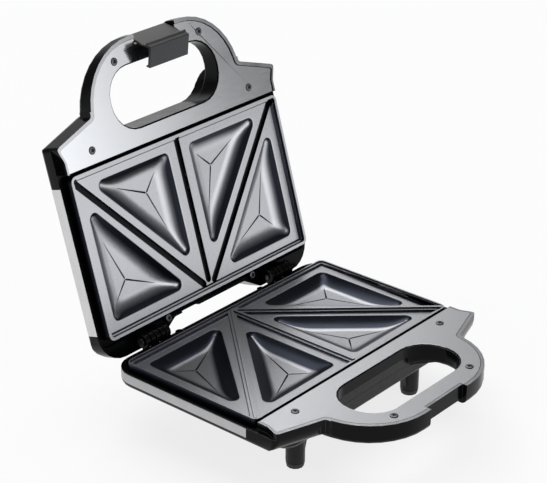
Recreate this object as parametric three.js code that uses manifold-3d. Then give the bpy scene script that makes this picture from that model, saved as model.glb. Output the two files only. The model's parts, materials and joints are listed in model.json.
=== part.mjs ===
// Hinged sandwich toaster with two cooking plates, shown open, millimetres, +Z up.
// Modelling frame: x across, y toward the hinge, z up. y = 0 is the rear edge of the cooking
// plates and z = 0 is the plane in which the lower plate's lip ends.
// Each half is first modelled lying on its back, cooking side up, in that same frame. The lid's
// half is then turned over above the base and swung open about the hinge.
import * as THREE from 'three';
import { mergeVertices } from 'three/addons/utils/BufferGeometryUtils.js';
import Module from 'manifold-3d';

const wasm = await Module();
wasm.setup();

// Cooking plates
const plateWidth = 221;
const plateDepth = 123;
const plateCornerRadius = 4.5;
const plateWall = 3;
const plateSkirt = 9;
const plateGap = 0.6;
const lipWidth = 1.2;
const lipStep = 1.3;
const landInset = 4.6;
const baseLandDepth = 3.1;
const lidLandDepth = 3.9;
const ridgeWidth = 6.2;
const ridgeRibWidth = 2.1;
const dividerGrooveWidth = 5.5;
const dividerGrooveDepth = 2;
const dividerGrooveStart = 8.5;
const dividerGrooveFrontInset = 4.6;
const dividerRearGap = 3;
const dividerFrontInset = 2.5;
const perimeterGrooveWidth = 1.5;
const perimeterGrooveDepth = 1.2;
const perimeterGrooveInset = 2.2;

// Triangular pockets in the plates
const pocketDepth = 7.3;
const pocketWallRun = 8.5;
const pocketCornerRadius = 5.5;
const creaseLength = 22;
const creaseWidth = 1.6;
const creaseDepth = 0.8;
const pocketWall = 3;

// Pocket corners, as shares of the plate's half width and of its depth from the rear edge
const outerPocketShares = [[0.90226, 0.82927], [0.90226, 0.0813], [0.18643, 0.0813]];
const innerPocketShares = [[0.09412, 0.92033], [0.82353, 0.92033], [0.09412, 0.1935]];

// Polished deck sheets in front of the plates and round the handle loops
const deckThickness = 0.8;
const deckPlateGap = 2.7;
const deckSideInset = 0.7;
const deckBendDepth = 8.8;
const deckShoulderFlare = 3.5;
const deckShoulderDepth = 17.6;
const deckShoulderRadius = 1.5;
const deckRootX = 75.5;
const deckRootDepth = 29.8;
const deckRootRadius = 4.5;
const deckBendRadius = 6;
const deckBorder = 11.6;
const windowDepth = 48;
const loopFrontWidth = 15.7;
const loopSideWidth = 18.7;
const loopCornerInset = 8;
const loopCornerRadius = 48.3;
const baseDeckLevel = 0;
const lidDeckLevel = -0.9;
const windowRimWidth = 1;
const windowRoll = 4;
const windowRollSteps = 3;
const deckGap = 0.3;
const deckRear = plateDepth + deckPlateGap;
const deckHalfWidth = plateWidth / 2 - deckSideInset;
const deckShoulderBend = deckRear + deckBendDepth;
const deckShoulderX = deckHalfWidth + deckShoulderFlare;
const deckShoulderFront = deckRear + deckShoulderDepth;
const deckRootFront = deckRear + deckRootDepth;
const loopCornerX = deckRootX - loopCornerInset;
const windowRear = deckRear + deckBorder;
const windowFront = windowRear + windowDepth;
const windowHalfWidth = deckRootX - loopSideWidth;
const loopFront = windowFront + loopFrontWidth;

// Latch notch in the fronts of both loops
const notchHalfWidth = 21.3;
const baseNotchDeckDepth = 3;
const baseNotchShellDepth = 0.7;
const lidNotchDeckDepth = 5;
const lidNotchShellDepth = 4.4;
const baseNotchDeckFront = loopFront - baseNotchDeckDepth;
const baseNotchShellFront = loopFront - baseNotchShellDepth;
const lidNotchDeckFront = loopFront - lidNotchDeckDepth;
const lidNotchShellFront = loopFront - lidNotchShellDepth;

// Housings
const shellRim = 3.1;
const shellWall = 2.4;
const shellSideWall = 2.3;
const shellCornerRadius = 4.6;
const shoulderRim = 2;
const rootFilletRadius = 2.5;
const rootFilletReach = 4;
const shellSideTop = -5;
const deckLedge = 1.5;
const channelSide = 3.5;
const channelFront = 1.2;
const crossWall = 2.2;
const plateLedgeWidth = 3.5;
const plateLedgeThickness = 2.4;
const shellHalfWidth = plateWidth / 2 + channelSide + shellSideWall;

// Base housing
const baseThickness = 17;
const baseLoopThickness = 15.5;
const baseRear = -9.7;
const baseRearCornerRadius = 18;
const baseSideRoll = 4;
const baseRearRoll = 1;
const baseFrontRoll = 12;
const baseLoopRoll = 4.5;
const baseFloorThickness = 2.2;

// Steel bands let into the base's sides
const bandThickness = 0.8;
const bandHeight = 7.2;
const bandDrop = 0.6;
const bandRear = -1;
const bandFrontInset = 4;
const bandTop = shellSideTop - bandDrop;
const bandBottom = bandTop - bandHeight;
const bandFront = plateDepth - bandFrontInset;

// Bottom pan, vents and feet
const panSideInset = 22.3;
const panRearInset = 1.2;
const panCornerRadius = 14;
const panWall = 2.2;
const panBottom = -29.5;
const panDraft = 2.5;
const tongueEndInset = 12.8;
const tongueTop = -9.5;
const ventWidth = 3;
const ventLength = 26;
const ventPitch = 8;
const ventCount = 7;
const ventCentreShare = 0.504;
const footSideInset = 26.7;
const footRearSideInset = 46;
const footFrontInset = 15.1;
const footRearInset = 7.5;
const footRadius = 7;
const footTip = -57.2;
const footPadHeight = 5;
const footFlatShare = 0.65;
const footShoulderShare = 0.9;
const footGussetReach = 10;
const footGussetThickness = 5;
const panHalfWidth = shellHalfWidth - panSideInset;
const panRear = baseRear + panRearInset;
const tongueHalfWidth = windowHalfWidth - tongueEndInset;
const ventCentre = plateDepth * ventCentreShare;
const footX = panHalfWidth - footSideInset;
const footRearX = panHalfWidth - footRearSideInset;
const footFront = windowRear - footFrontInset;
const footRear = panRear + footRearInset;

// Lid housing and its steel cover
const lidEdgeThickness = 19;
const lidCrown = 28;
const lidDomePower = 4;
const lidSideTop = -7;
const lidEdgeRoll = 4.5;
const lidRearCentre = -7.5;
const lidRearSide = -17.5;
const lidRearCornerRadius = 22;
const skirtNotchX = 12.6;
const skirtNotchWidth = 18.4;
const skirtNotchSetback = 6;
const skirtNotchDrop = 9;
const lidRearRoll = 13;
const lidFrontRoll = 15;
const lidLoopRootThickness = 18.5;
const lidLoopFrontThickness = 13;
const lidLoopRoll = 7;
const coverThickness = 0.5;
const coverRear = 6;
const coverFrontInset = 6.5;
const coverFront = plateDepth - coverFrontInset;
const coverLedge = 10;
const coverOpeningRadius = 12;

// Hinge
const hingeRearInset = 1;
const openAngle = THREE.MathUtils.degToRad(106.44);
const hingeSideInset = 27.5;
const hingeWidth = 26;
const hingeKnuckleRadius = 5.5;
const hingeKnuckleCount = 5;
const hingeKnuckleGap = 1.4;
const hingePinRadius = 2;
const hingePinGap = 0.3;
const hingeSwingGap = 0.7;
const bumperInset = 10.7;
const rearBossInset = 9.6;
const rearBossRadius = 3.4;
const rearBossSetback = 5.2;
const rearBossTop = -5;
const bumperRadius = 3.6;
const bumperTop = -3.4;
const hingeY = hingeRearInset - baseRear;
const hingeZ = plateGap / 2;
const hingeOuterX = plateWidth / 2 - hingeSideInset;
const hingeInnerX = hingeOuterX - hingeWidth;
const bumperX = hingeInnerX - bumperInset;
const rearBossX = hingeInnerX - rearBossInset;

// Latch clip
const clipPinInset = 0.8;
const clipPinDepth = 9;
const clipPinRadius = 1.25;
const clipPinGap = 0.3;
const clipPinReach = 3.5;
const clipBarrelRadius = 2.5;
const clipThickness = 2.2;
const clipSideGap = 1.1;
const clipTopReach = 2;
const clipUnderGap = 1.1;
const clipFaceOffset = 2.7;
const clipHookInset = 0.6;
const clipLipRise = 1.6;
const clipLipLength = 2;
const clipThumbReach = 1.6;
const clipThumbHeight = 4.6;
const clipScoopDepth = 1.2;
const clipScoopHeight = 9;
const clipBendInset = 0.9;
const clipGap = 0.4;
const clipSwing = THREE.MathUtils.degToRad(22);
const clipPinFront = loopFront - clipPinInset;
const clipHalfWidth = notchHalfWidth - clipSideGap;
const clipDrop = clipPinDepth + plateGap + baseLoopThickness - clipUnderGap;
const clipHookEnd = windowFront + clipHookInset;

// Fasteners
const deckScrewHeadRadius = 3;
const deckScrewHeadHeight = 0.55;
const deckScrewShankRadius = 1.5;
const deckScrewLength = 9;
const shoulderScrewInset = 25.6;
const shoulderScrewDepth = 9.8;
const loopScrewInset = 12.2;
const loopScrewDepth = 4.5;
const screwBossRadius = 3.8;
const screwGap = 0.3;
const panScrewFootGap = 7.3;
const panScrewRearSideInset = 28;
const panScrewInset = 7.9;
const panScrewLength = 7.8;
const plateScrewInset = 9.5;
const plateScrewFrontInset = 13;
const plateScrewRearInset = 7.9;
const plateScrewRear = 6.6;
const shoulderScrewX = deckHalfWidth - shoulderScrewInset;
const shoulderScrewFront = deckRear + shoulderScrewDepth;
const loopScrewX = windowHalfWidth - loopScrewInset;
const loopScrewFront = windowFront + loopScrewDepth;
const panScrewX = footX - panScrewFootGap;
const panScrewRearX = panHalfWidth - panScrewRearSideInset;
const panScrewFront = windowRear - panScrewInset;
const panScrewRear = panRear + panScrewInset;
const plateScrewX = plateWidth / 2 - plateScrewInset;
const plateScrewRearX = plateWidth / 2 - plateScrewRearInset;
const plateScrewFront = plateDepth - plateScrewFrontInset;

// Parts inside each half
const seatGap = 0.3;
const elementRadius = 3.2;
const elementRearInset = 10;
const elementFrontInset = 11;
const elementEndInset = 14;
const elementTurnInset = 13;
const elementSteps = 26;
const elementQuarterSides = 3;
const terminalRadius = 1.4;
const terminalLength = 8;
const reflectorThickness = 0.5;
const reflectorSideGap = 1.2;
const reflectorRearGap = 0.4;
const reflectorFrontGap = 1.5;
const troughSideInset = 26.5;
const troughRear = 20;
const troughFrontInset = 20;
const troughDraft = 5;
const thermostatRadius = 6.2;
const thermostatHeight = 7.6;
const thermostatShare = 0.504;
const fuseRadius = 2;
const fuseLength = 11;
const fuseThermostatGap = 16;
const fuseLeadRadius = 0.5;
const fuseLeadLength = 9;
const terminalBlockWidth = 36;
const terminalBlockDepth = 8.5;
const terminalBlockHeight = 11;
const terminalBlockInset = 9.7;
const glandRadius = 3.9;
const glandFlangeRadius = 5.2;
const glandInnerFlangeRadius = 4.5;
const glandBoreRadius = 3.2;
const glandFlange = 1.2;
const glandLevel = -22.6;
const reflectorHalfWidth = plateWidth / 2 - plateWall - reflectorSideGap;
const reflectorRear = plateWall + reflectorRearGap;
const reflectorFront = plateDepth - plateWall - reflectorFrontGap;
const troughHalfWidth = plateWidth / 2 - troughSideInset;
const troughFront = plateDepth - troughFrontInset;
const elementRear = troughRear + elementRearInset;
const elementFront = troughFront - elementFrontInset;
const elementBend = (elementFront - elementRear) / 2;
const elementEndX = troughHalfWidth - elementEndInset;
const elementTurnX = troughHalfWidth - elementTurnInset - elementBend;
const thermostatFront = plateDepth * thermostatShare;
const fuseFront = thermostatFront - fuseThermostatGap;
const terminalBlockFront = windowRear - terminalBlockInset;

// Signal lamps in the lid's top, near the front
const lampX = 12;
const lampDeckInset = 1.7;
const lampRadius = 3.2;
const lampFlangeRadius = 4.6;
const lampRise = 1.2;
const lampLength = 9;
const lampFront = deckRear - lampDeckInset;

// Working values
const overrun = 2;
const smallestRadius = 0.25;
const arcSag = 0.2;
const roundSegments = 12;
const holeSegments = 8;
const screwSegments = 8;
const bossSegments = 8;

const finish = {
  gloss: { color: 0x141416, roughness: 0.28, metalness: 0 },
  satin: { color: 0x3a3b3e, roughness: 0.5, metalness: 0 },
  steel: { color: 0xc9cacd, roughness: 0.22, metalness: 1 },
  coating: { color: 0x6f7276, roughness: 0.42, metalness: 0.5 },
  galvanised: { color: 0xa9acae, roughness: 0.45, metalness: 1 },
  sheath: { color: 0x5b5d5c, roughness: 0.55, metalness: 1 },
  screw: { color: 0xb4b6ba, roughness: 0.3, metalness: 1 },
  rubber: { color: 0x101010, roughness: 0.85, metalness: 0 },
  ceramic: { color: 0xe6e0d2, roughness: 0.7, metalness: 0 },
  clip: { color: 0x484646, roughness: 0.5, metalness: 0 },
  red: { color: 0xb01a12, roughness: 0.2, metalness: 0 },
  green: { color: 0x1c8a3a, roughness: 0.2, metalness: 0 },
};

// Solids and meshes

function toSolid(geometry) {
  const bare = geometry.index ? geometry.toNonIndexed() : geometry.clone();
  bare.deleteAttribute('normal');
  bare.deleteAttribute('uv');
  const merged = mergeVertices(bare, 1e-4);
  const vertProperties = new Float32Array(merged.attributes.position.array);
  const triVerts = new Uint32Array(merged.index.array);
  return new wasm.Manifold(new wasm.Mesh({ numProp: 3, vertProperties, triVerts }));
}

function toMesh(name, solid, look) {
  const mesh = solid.getMesh();
  const geometry = new THREE.BufferGeometry();
  geometry.setAttribute('position', new THREE.BufferAttribute(mesh.vertProperties, 3));
  geometry.setIndex(new THREE.BufferAttribute(mesh.triVerts, 1));
  geometry.computeVertexNormals();
  const piece = new THREE.Mesh(geometry, new THREE.MeshStandardMaterial(finish[look]));
  piece.name = name;
  return piece;
}

function join(solids) {
  return solids.reduce((whole, solid) => whole.add(solid));
}

function box(x0, x1, y0, y1, z0, z1) {
  const geometry = new THREE.BoxGeometry(x1 - x0, y1 - y0, z1 - z0);
  geometry.translate((x0 + x1) / 2, (y0 + y1) / 2, (z0 + z1) / 2);
  return toSolid(geometry);
}

function cylinder(radius, x, y, z0, z1, segments = roundSegments) {
  const geometry = new THREE.CylinderGeometry(radius, radius, z1 - z0, segments);
  geometry.rotateX(Math.PI / 2);
  geometry.translate(x, y, (z0 + z1) / 2);
  return toSolid(geometry);
}

function crossCylinder(radius, x0, x1, y, z, segments = roundSegments) {
  const geometry = new THREE.CylinderGeometry(radius, radius, x1 - x0, segments);
  geometry.rotateZ(Math.PI / 2);
  geometry.translate((x0 + x1) / 2, y, z);
  return toSolid(geometry);
}

// Revolves radius and height pairs about a vertical axis at x, y.
function lathe(profile, x, y, segments = roundSegments) {
  const points = profile.map(([radius, height]) => new THREE.Vector2(radius, height));
  const geometry = new THREE.LatheGeometry(points, segments);
  geometry.rotateX(Math.PI / 2);
  geometry.translate(x, y, 0);
  return toSolid(geometry);
}

// Outlines

// Gives the points of a closed outline whose corners are rounded. Corners run anticlockwise.
// Every side moves outward by what growOf gives for the corner that it starts from.
function roundedOutline(corners, growOf = () => 0) {
  const count = corners.length;
  const sides = corners.map((corner, i) => {
    const next = corners[(i + 1) % count];
    const along = new THREE.Vector2(next.x - corner.x, next.y - corner.y).normalize();
    const outward = new THREE.Vector2(along.y, -along.x);
    const grow = growOf(corner);
    const start = new THREE.Vector2(corner.x, corner.y).addScaledVector(outward, grow);
    return { along, start, grow };
  });
  const points = [];
  corners.forEach((corner, i) => {
    const before = sides[(i + count - 1) % count];
    const after = sides[i];
    const turn = before.along.cross(after.along);
    const gap = after.start.clone().sub(before.start);
    const reach = gap.cross(after.along) / turn;
    const tip = before.start.clone().addScaledVector(before.along, reach);
    if (!corner.r) {
      points.push(tip);
      return;
    }
    const grow = (before.grow + after.grow) / 2;
    const wanted = turn > 0 ? corner.r + grow : corner.r - grow;
    const radius = Math.max(wanted, smallestRadius);
    const angle = Math.atan2(turn, before.along.dot(after.along));
    const setback = radius * Math.tan(Math.abs(angle) / 2);
    const start = tip.clone().addScaledVector(before.along, -setback);
    const side = Math.sign(turn);
    const centre = start.clone().add(new THREE.Vector2(-before.along.y, before.along.x).multiplyScalar(side * radius));
    const step = 2 * Math.acos(1 - Math.min(arcSag / corner.r, 0.5));
    const steps = Math.max(2, Math.ceil(Math.abs(angle) / step));
    const from = start.clone().sub(centre);
    for (let k = 0; k <= steps; k += 1) {
      points.push(from.clone().rotateAround(new THREE.Vector2(), (angle * k) / steps).add(centre));
    }
  });
  return points;
}

// Adds the mirror image of a run of corners that goes from the front middle to the rear middle.
// A corner's roll belongs to the side that starts there, and frontRoll to the middle front side.
function mirrored(half, frontRoll = 0) {
  const left = half.map((corner, i) => ({
    ...corner,
    x: -corner.x,
    roll: i > 0 ? half[i - 1].roll : frontRoll,
  })).reverse();
  return [...half, ...left];
}

function grown(corners, grow) {
  return roundedOutline(corners, () => grow);
}

// Joins outlines with equal numbers of points, from the lowest to the highest, into one body.
// A height can be changed by place with heightOf.
function loft(sections, heightOf = (point, z) => z) {
  const count = sections[0].points.length;
  const positions = [];
  const corner = (level, i) => {
    const { points, z } = sections[level];
    const point = points[i % count];
    return [point.x, point.y, heightOf(point, z)];
  };
  for (let level = 0; level + 1 < sections.length; level += 1) {
    for (let i = 0; i < count; i += 1) {
      const a = corner(level, i);
      const b = corner(level, i + 1);
      const c = corner(level + 1, i + 1);
      const d = corner(level + 1, i);
      positions.push(...a, ...b, ...c, ...a, ...c, ...d);
    }
  }
  const top = sections.length - 1;
  const topFaces = THREE.ShapeUtils.triangulateShape(sections[top].points, []);
  topFaces.forEach(([a, b, c]) => positions.push(...corner(top, a), ...corner(top, b), ...corner(top, c)));
  const lowFaces = THREE.ShapeUtils.triangulateShape(sections[0].points, []);
  lowFaces.forEach(([a, b, c]) => positions.push(...corner(0, a), ...corner(0, c), ...corner(0, b)));
  const geometry = new THREE.BufferGeometry();
  geometry.setAttribute('position', new THREE.Float32BufferAttribute(positions, 3));
  return toSolid(geometry);
}

function prism(points, z0, z1) {
  return loft([{ points, z: z0 }, { points, z: z1 }]);
}

// A body whose lower edges roll inward by each corner's own roll. With a wall it gives the
// hollow that leaves a wall of that thickness below and all round.
function rolledBody(corners, bottom, top, levels = 4, heightOf = undefined, wall = 0) {
  const largest = Math.max(...corners.map((corner) => corner.roll ?? 0)) - wall;
  const sections = [];
  for (let k = 0; k <= levels; k += 1) {
    const height = largest * (1 - Math.cos((Math.PI / 2) * (k / levels)));
    const growOf = (corner) => {
      const roll = (corner.roll ?? 0) - wall;
      if (height >= roll) return -wall;
      const rise = roll - height;
      return Math.sqrt(Math.max(0, roll * roll - rise * rise)) - roll - wall;
    };
    sections.push({ points: roundedOutline(corners, growOf), z: bottom + wall + height });
  }
  sections.push({ points: grown(corners, -wall), z: top });
  return loft(sections, heightOf);
}

// Extrudes a closed outline of y and z pairs across the part.
function crossPrism(outline, x0, x1) {
  const points = outline.map(([y, z]) => new THREE.Vector2(y, z));
  if (THREE.ShapeUtils.isClockWise(points)) points.reverse();
  const geometry = new THREE.ExtrudeGeometry(new THREE.Shape(points), { depth: x1 - x0, bevelEnabled: false });
  const turn = new THREE.Matrix4().makeBasis(
    new THREE.Vector3(0, 1, 0),
    new THREE.Vector3(0, 0, 1),
    new THREE.Vector3(1, 0, 0),
  );
  geometry.applyMatrix4(turn);
  geometry.translate(x0, 0, 0);
  return toSolid(geometry);
}

// Extrudes a closed outline of x and z pairs from y0 to y1.
function depthPrism(outline, y0, y1) {
  const points = outline.map(([x, z]) => new THREE.Vector2(x, z));
  if (THREE.ShapeUtils.isClockWise(points)) points.reverse();
  const geometry = new THREE.ExtrudeGeometry(new THREE.Shape(points), { depth: y1 - y0, bevelEnabled: false });
  geometry.rotateX(Math.PI / 2);
  geometry.translate(0, y1, 0);
  return toSolid(geometry);
}

// Corner lists shared by both halves

const plateCorners = mirrored([
  { x: plateWidth / 2, y: -plateDepth, r: plateCornerRadius },
  { x: plateWidth / 2, y: 0, r: plateCornerRadius },
]);

function deckCorners(notchFront) {
  return mirrored([
    { x: notchHalfWidth, y: -notchFront, r: 0 },
    { x: notchHalfWidth, y: -loopFront, r: 0 },
    { x: loopCornerX, y: -loopFront, r: loopCornerRadius },
    { x: deckRootX, y: -deckRootFront, r: deckRootRadius },
    { x: deckShoulderX, y: -deckShoulderFront, r: deckShoulderRadius },
    { x: deckHalfWidth, y: -deckShoulderBend, r: deckBendRadius },
    { x: deckHalfWidth, y: -deckRear, r: 0 },
  ]);
}

const windowCornerRadius = windowDepth / 2 - windowRimWidth;
const windowCorners = [
  { x: windowHalfWidth, y: -windowFront, r: windowCornerRadius, rolled: true },
  { x: windowHalfWidth, y: -windowRear, r: windowCornerRadius, rolled: false },
  { x: -windowHalfWidth, y: -windowRear, r: windowCornerRadius, rolled: true },
  { x: -windowHalfWidth, y: -windowFront, r: windowCornerRadius, rolled: true },
];

function pocketCorners(cornerShares, side) {
  return onSide(cornerShares.map(([across, front]) => ({
    x: (across * plateWidth) / 2, y: -front * plateDepth, r: pocketCornerRadius,
  })), side);
}

function onSide(corners, side) {
  if (side > 0) return corners;
  return corners.map((corner) => ({ ...corner, x: -corner.x })).reverse();
}

const pockets = [outerPocketShares, innerPocketShares].flatMap((cornerShares) => [
  pocketCorners(cornerShares, 1),
  pocketCorners(cornerShares, -1),
]);

// The bowl of a pocket: steep at its mouth, level at its floor.
function pocketBowl(corners, mouth, wall, levels = 4) {
  const floor = mouth - pocketDepth - wall;
  const sections = [];
  for (let k = 0; k <= levels; k += 1) {
    const angle = (Math.PI / 2) * (1 - k / levels);
    const inset = pocketWallRun * (1 - Math.cos(angle));
    const depth = pocketDepth * Math.sin(angle);
    sections.push({ points: grown(corners, wall - inset), z: mouth - depth - wall });
  }
  sections.push({ points: grown(corners, wall), z: mouth + overrun });
  sections[0].z = floor;
  return loft(sections);
}

function centroid(corners) {
  const sum = corners.reduce((total, corner) => [total[0] + corner.x, total[1] + corner.y], [0, 0]);
  return [sum[0] / corners.length, sum[1] / corners.length];
}

// Three tapered creases that run from the pocket's middle toward its corners.
function pocketCreases(corners, floor) {
  const [x, y] = centroid(corners);
  const creases = corners.map((corner) => {
    const along = new THREE.Vector2(corner.x - x, corner.y - y).normalize();
    const across = new THREE.Vector2(-along.y, along.x).multiplyScalar(creaseWidth / 2);
    const middle = new THREE.Vector2(x, y);
    const tail = middle.clone().addScaledVector(along, -creaseWidth / 2);
    const end = middle.clone().addScaledVector(along, creaseLength);
    const points = [tail.clone().sub(across), end, tail.clone().add(across)];
    return prism(points, floor - creaseDepth, floor + overrun);
  });
  return join(creases);
}

// Bars along the plate's dividing lines, one down the middle and two to the front corners. They
// start at a distance from the point where the lines meet, and a start rounds their ends.
function dividerBars(width, z0, z1, rearGap, frontInset, start = 0) {
  const rear = -rearGap;
  const front = frontInset - plateDepth;
  const reachX = plateWidth / 2 - frontInset;
  const length = Math.hypot(reachX, rear - front);
  const angle = Math.atan2(front - rear, reachX);
  const middle = (z0 + z1) / 2;
  const place = (geometry, turn) => {
    geometry.rotateZ(turn);
    geometry.translate(0, rear, middle);
    return toSolid(geometry);
  };
  const bar = (far, turn) => {
    const flat = new THREE.BoxGeometry(far - start, width, z1 - z0);
    flat.translate((start + far) / 2, 0, 0);
    const pieces = [place(flat, turn)];
    if (!start) return pieces[0];
    [start, far].forEach((along) => {
      const end = new THREE.CylinderGeometry(width / 2, width / 2, z1 - z0, bossSegments);
      end.rotateX(Math.PI / 2);
      end.translate(along, 0, 0);
      pieces.push(place(end, turn));
    });
    return join(pieces);
  };
  return join([bar(rear - front, -Math.PI / 2), bar(length, angle), bar(length, Math.PI - angle)]);
}

// A cooking plate: a casting with a lip, four bowls and the bulges of the bowls underneath.
function cookingPlate(name, landDepth, divided) {
  const underside = -landDepth - plateWall;
  let plate = prism(grown(plateCorners, 0), -plateSkirt, 0);
  plate = plate.subtract(prism(grown(plateCorners, -plateWall), -plateSkirt - overrun, underside));
  const bulges = pockets.map((corners) => pocketBowl(corners, -landDepth, pocketWall, 2)
    .intersect(prism(grown(plateCorners, -plateWall), -landDepth - pocketDepth * 2, underside + plateWall / 2)));
  plate = plate.add(join(bulges));
  const bosses = plateScrewPlaces().map(([x, y]) => cylinder(
    screwBossRadius, x, y, reflectorTop(landDepth) + seatGap, underside + plateWall / 2, bossSegments,
  ));
  plate = plate.add(join(bosses));
  let land = loft([
    { points: grown(plateCorners, -landInset), z: -landDepth },
    { points: grown(plateCorners, -landInset + lipStep), z: -lipStep },
    { points: grown(plateCorners, -landInset + lipStep), z: overrun },
  ]);
  if (divided) {
    const ledge = prism(grown(plateCorners, -lipWidth), -lipStep, overrun);
    const bars = dividerBars(ridgeWidth, -landDepth - overrun, -lipStep, dividerRearGap, dividerFrontInset);
    const ribs = dividerBars(ridgeRibWidth, -landDepth, 0, dividerRearGap, dividerFrontInset);
    land = land.subtract(bars);
    plate = plate.subtract(land).subtract(ledge);
    const inner = prism(grown(plateCorners, -lipWidth / 2), -landDepth, 0);
    plate = plate.add(ribs.intersect(inner));
  } else {
    plate = plate.subtract(land);
    const grooves = dividerBars(
      dividerGrooveWidth, -landDepth - dividerGrooveDepth, 0, 0, dividerGrooveFrontInset, dividerGrooveStart,
    );
    plate = plate.subtract(grooves);
    const outer = prism(grown(plateCorners, -perimeterGrooveInset), -lipStep - perimeterGrooveDepth, overrun);
    const inner = prism(
      grown(plateCorners, -perimeterGrooveInset - perimeterGrooveWidth),
      -lipStep - perimeterGrooveDepth - overrun,
      overrun + overrun,
    );
    plate = plate.subtract(outer.subtract(inner));
  }
  pockets.forEach((corners) => {
    plate = plate.subtract(pocketBowl(corners, -landDepth, 0));
    plate = plate.subtract(pocketCreases(corners, -landDepth - pocketDepth));
  });
  plateScrewPlaces().forEach(([x, y]) => {
    plate = plate.subtract(cylinder(
      deckScrewShankRadius + screwGap, x, y, reflectorTop(landDepth) - overrun, underside,
    ));
  });
  return toMesh(name, plate, 'coating');
}

function plateScrewPlaces() {
  const places = [];
  [1, -1].forEach((side) => {
    places.push([side * plateScrewX, -plateScrewFront]);
    places.push([side * plateScrewRearX, -plateScrewRear]);
  });
  return places;
}

// Levels inside a half, from the pockets' undersides outward
function bulgeBottom(landDepth) {
  return -landDepth - pocketDepth - pocketWall;
}

function reflectorTop(landDepth) {
  return bulgeBottom(landDepth) - seatGap;
}

function elementLevel(landDepth) {
  return bulgeBottom(landDepth) - seatGap - elementRadius;
}

function troughTop(landDepth) {
  return elementLevel(landDepth) - elementRadius - seatGap;
}

function deckScrewPlaces() {
  const places = [];
  [1, -1].forEach((side) => {
    places.push([side * shoulderScrewX, -shoulderScrewFront]);
    places.push([side * loopScrewX, -loopScrewFront]);
  });
  return places;
}

function deckSheet(name, level, notchFront) {
  let sheet = prism(grown(deckCorners(notchFront), 0), level - deckThickness, level);
  sheet = sheet.subtract(prism(grown(windowCorners, 0), level - overrun, level + overrun));
  deckScrewPlaces().forEach(([x, y]) => {
    sheet = sheet.subtract(cylinder(deckScrewShankRadius + screwGap, x, y, level - overrun, level + overrun, holeSegments));
  });
  return toMesh(name, sheet, 'steel');
}

// A pan-head screw that stands head up with its head's underside at the seat.
function screw(name, x, y, seat, length, headUp = true) {
  const sign = headUp ? 1 : -1;
  const profile = [
    [0, seat - sign * length],
    [deckScrewShankRadius, seat - sign * (length - deckScrewShankRadius)],
    [deckScrewShankRadius, seat],
    [deckScrewHeadRadius, seat],
    [deckScrewHeadRadius * 0.9, seat + sign * deckScrewHeadHeight * 0.6],
    [0, seat + sign * deckScrewHeadHeight],
  ];
  if (!headUp) profile.reverse();
  return toMesh(name, lathe(profile, x, y, screwSegments), 'screw');
}

function deckScrews(prefix, level) {
  const names = ['shoulder_right', 'loop_right', 'shoulder_left', 'loop_left'];
  return deckScrewPlaces().map(([x, y], i) => screw(
    `${prefix}_deck_screw_${names[i]}`, x, y, level + seatGap / 3, deckScrewLength,
  ));
}

// Tubular heating element bent into a U, with a terminal pin at each end.
class ElementPath extends THREE.Curve {
  constructor(level) {
    super();
    this.level = level;
    this.bend = elementBend;
    this.run = elementEndX + elementTurnX;
  }

  getPoint(share) {
    const total = 2 * this.run + Math.PI * this.bend;
    const travelled = share * total;
    const middle = -(elementRear + elementFront) / 2;
    if (travelled < this.run) {
      return new THREE.Vector3(elementEndX - travelled, -elementRear, this.level);
    }
    const arc = travelled - this.run;
    if (arc < Math.PI * this.bend) {
      const angle = arc / this.bend;
      return new THREE.Vector3(
        -elementTurnX - this.bend * Math.sin(angle),
        middle + this.bend * Math.cos(angle),
        this.level,
      );
    }
    const back = arc - Math.PI * this.bend;
    return new THREE.Vector3(-elementTurnX + back, -elementFront, this.level);
  }
}

function heatingElement(name, landDepth) {
  const level = elementLevel(landDepth);
  const section = new THREE.Shape();
  section.absarc(0, 0, elementRadius, 0, Math.PI * 2, false);
  const geometry = new THREE.ExtrudeGeometry(section, {
    steps: elementSteps,
    curveSegments: elementQuarterSides,
    extrudePath: new ElementPath(level),
  });
  const pins = [elementRear, elementFront].map((front) => crossCylinder(
    terminalRadius, elementEndX - terminalLength / 2, elementEndX + terminalLength, -front, level, 12,
  ));
  return toMesh(name, join([toSolid(geometry), ...pins]), 'sheath');
}

// Pressed steel tray under the element, with a wide flange that the plate's screws hold.
function reflector(name, landDepth) {
  const top = reflectorTop(landDepth);
  const floor = troughTop(landDepth);
  const flangeCorners = mirrored([
    { x: reflectorHalfWidth, y: -reflectorFront, r: plateCornerRadius },
    { x: reflectorHalfWidth, y: -reflectorRear, r: plateCornerRadius },
  ]);
  const troughCorners = mirrored([
    { x: troughHalfWidth, y: -troughFront, r: troughDraft * 2 },
    { x: troughHalfWidth, y: -troughRear, r: troughDraft * 2 },
  ]);
  const outer = loft([
    { points: grown(troughCorners, reflectorThickness - troughDraft), z: floor - reflectorThickness },
    { points: grown(troughCorners, reflectorThickness), z: top - reflectorThickness },
  ]);
  const inner = loft([
    { points: grown(troughCorners, -troughDraft), z: floor },
    { points: grown(troughCorners, 0), z: top + seatGap },
  ]);
  let tray = prism(grown(flangeCorners, 0), top - reflectorThickness, top).add(outer).subtract(inner);
  plateScrewPlaces().forEach(([x, y]) => {
    tray = tray.subtract(cylinder(deckScrewShankRadius + screwGap, x, y, floor, top + overrun, holeSegments));
  });
  return toMesh(name, tray, 'galvanised');
}

function thermostat(name, landDepth) {
  const top = -landDepth - plateWall - seatGap;
  const bottom = top - thermostatHeight;
  const cap = cylinder(thermostatRadius, 0, -thermostatFront, bottom + thermostatHeight / 3, top);
  const body = cylinder(thermostatRadius * 0.8, 0, -thermostatFront, bottom, top);
  const tab = box(
    -thermostatRadius * 1.1, thermostatRadius * 1.1,
    -thermostatFront - deckThickness, -thermostatFront + deckThickness,
    bottom - deckThickness, bottom + deckThickness,
  );
  return toMesh(name, join([cap, body, tab]), 'ceramic');
}

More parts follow.
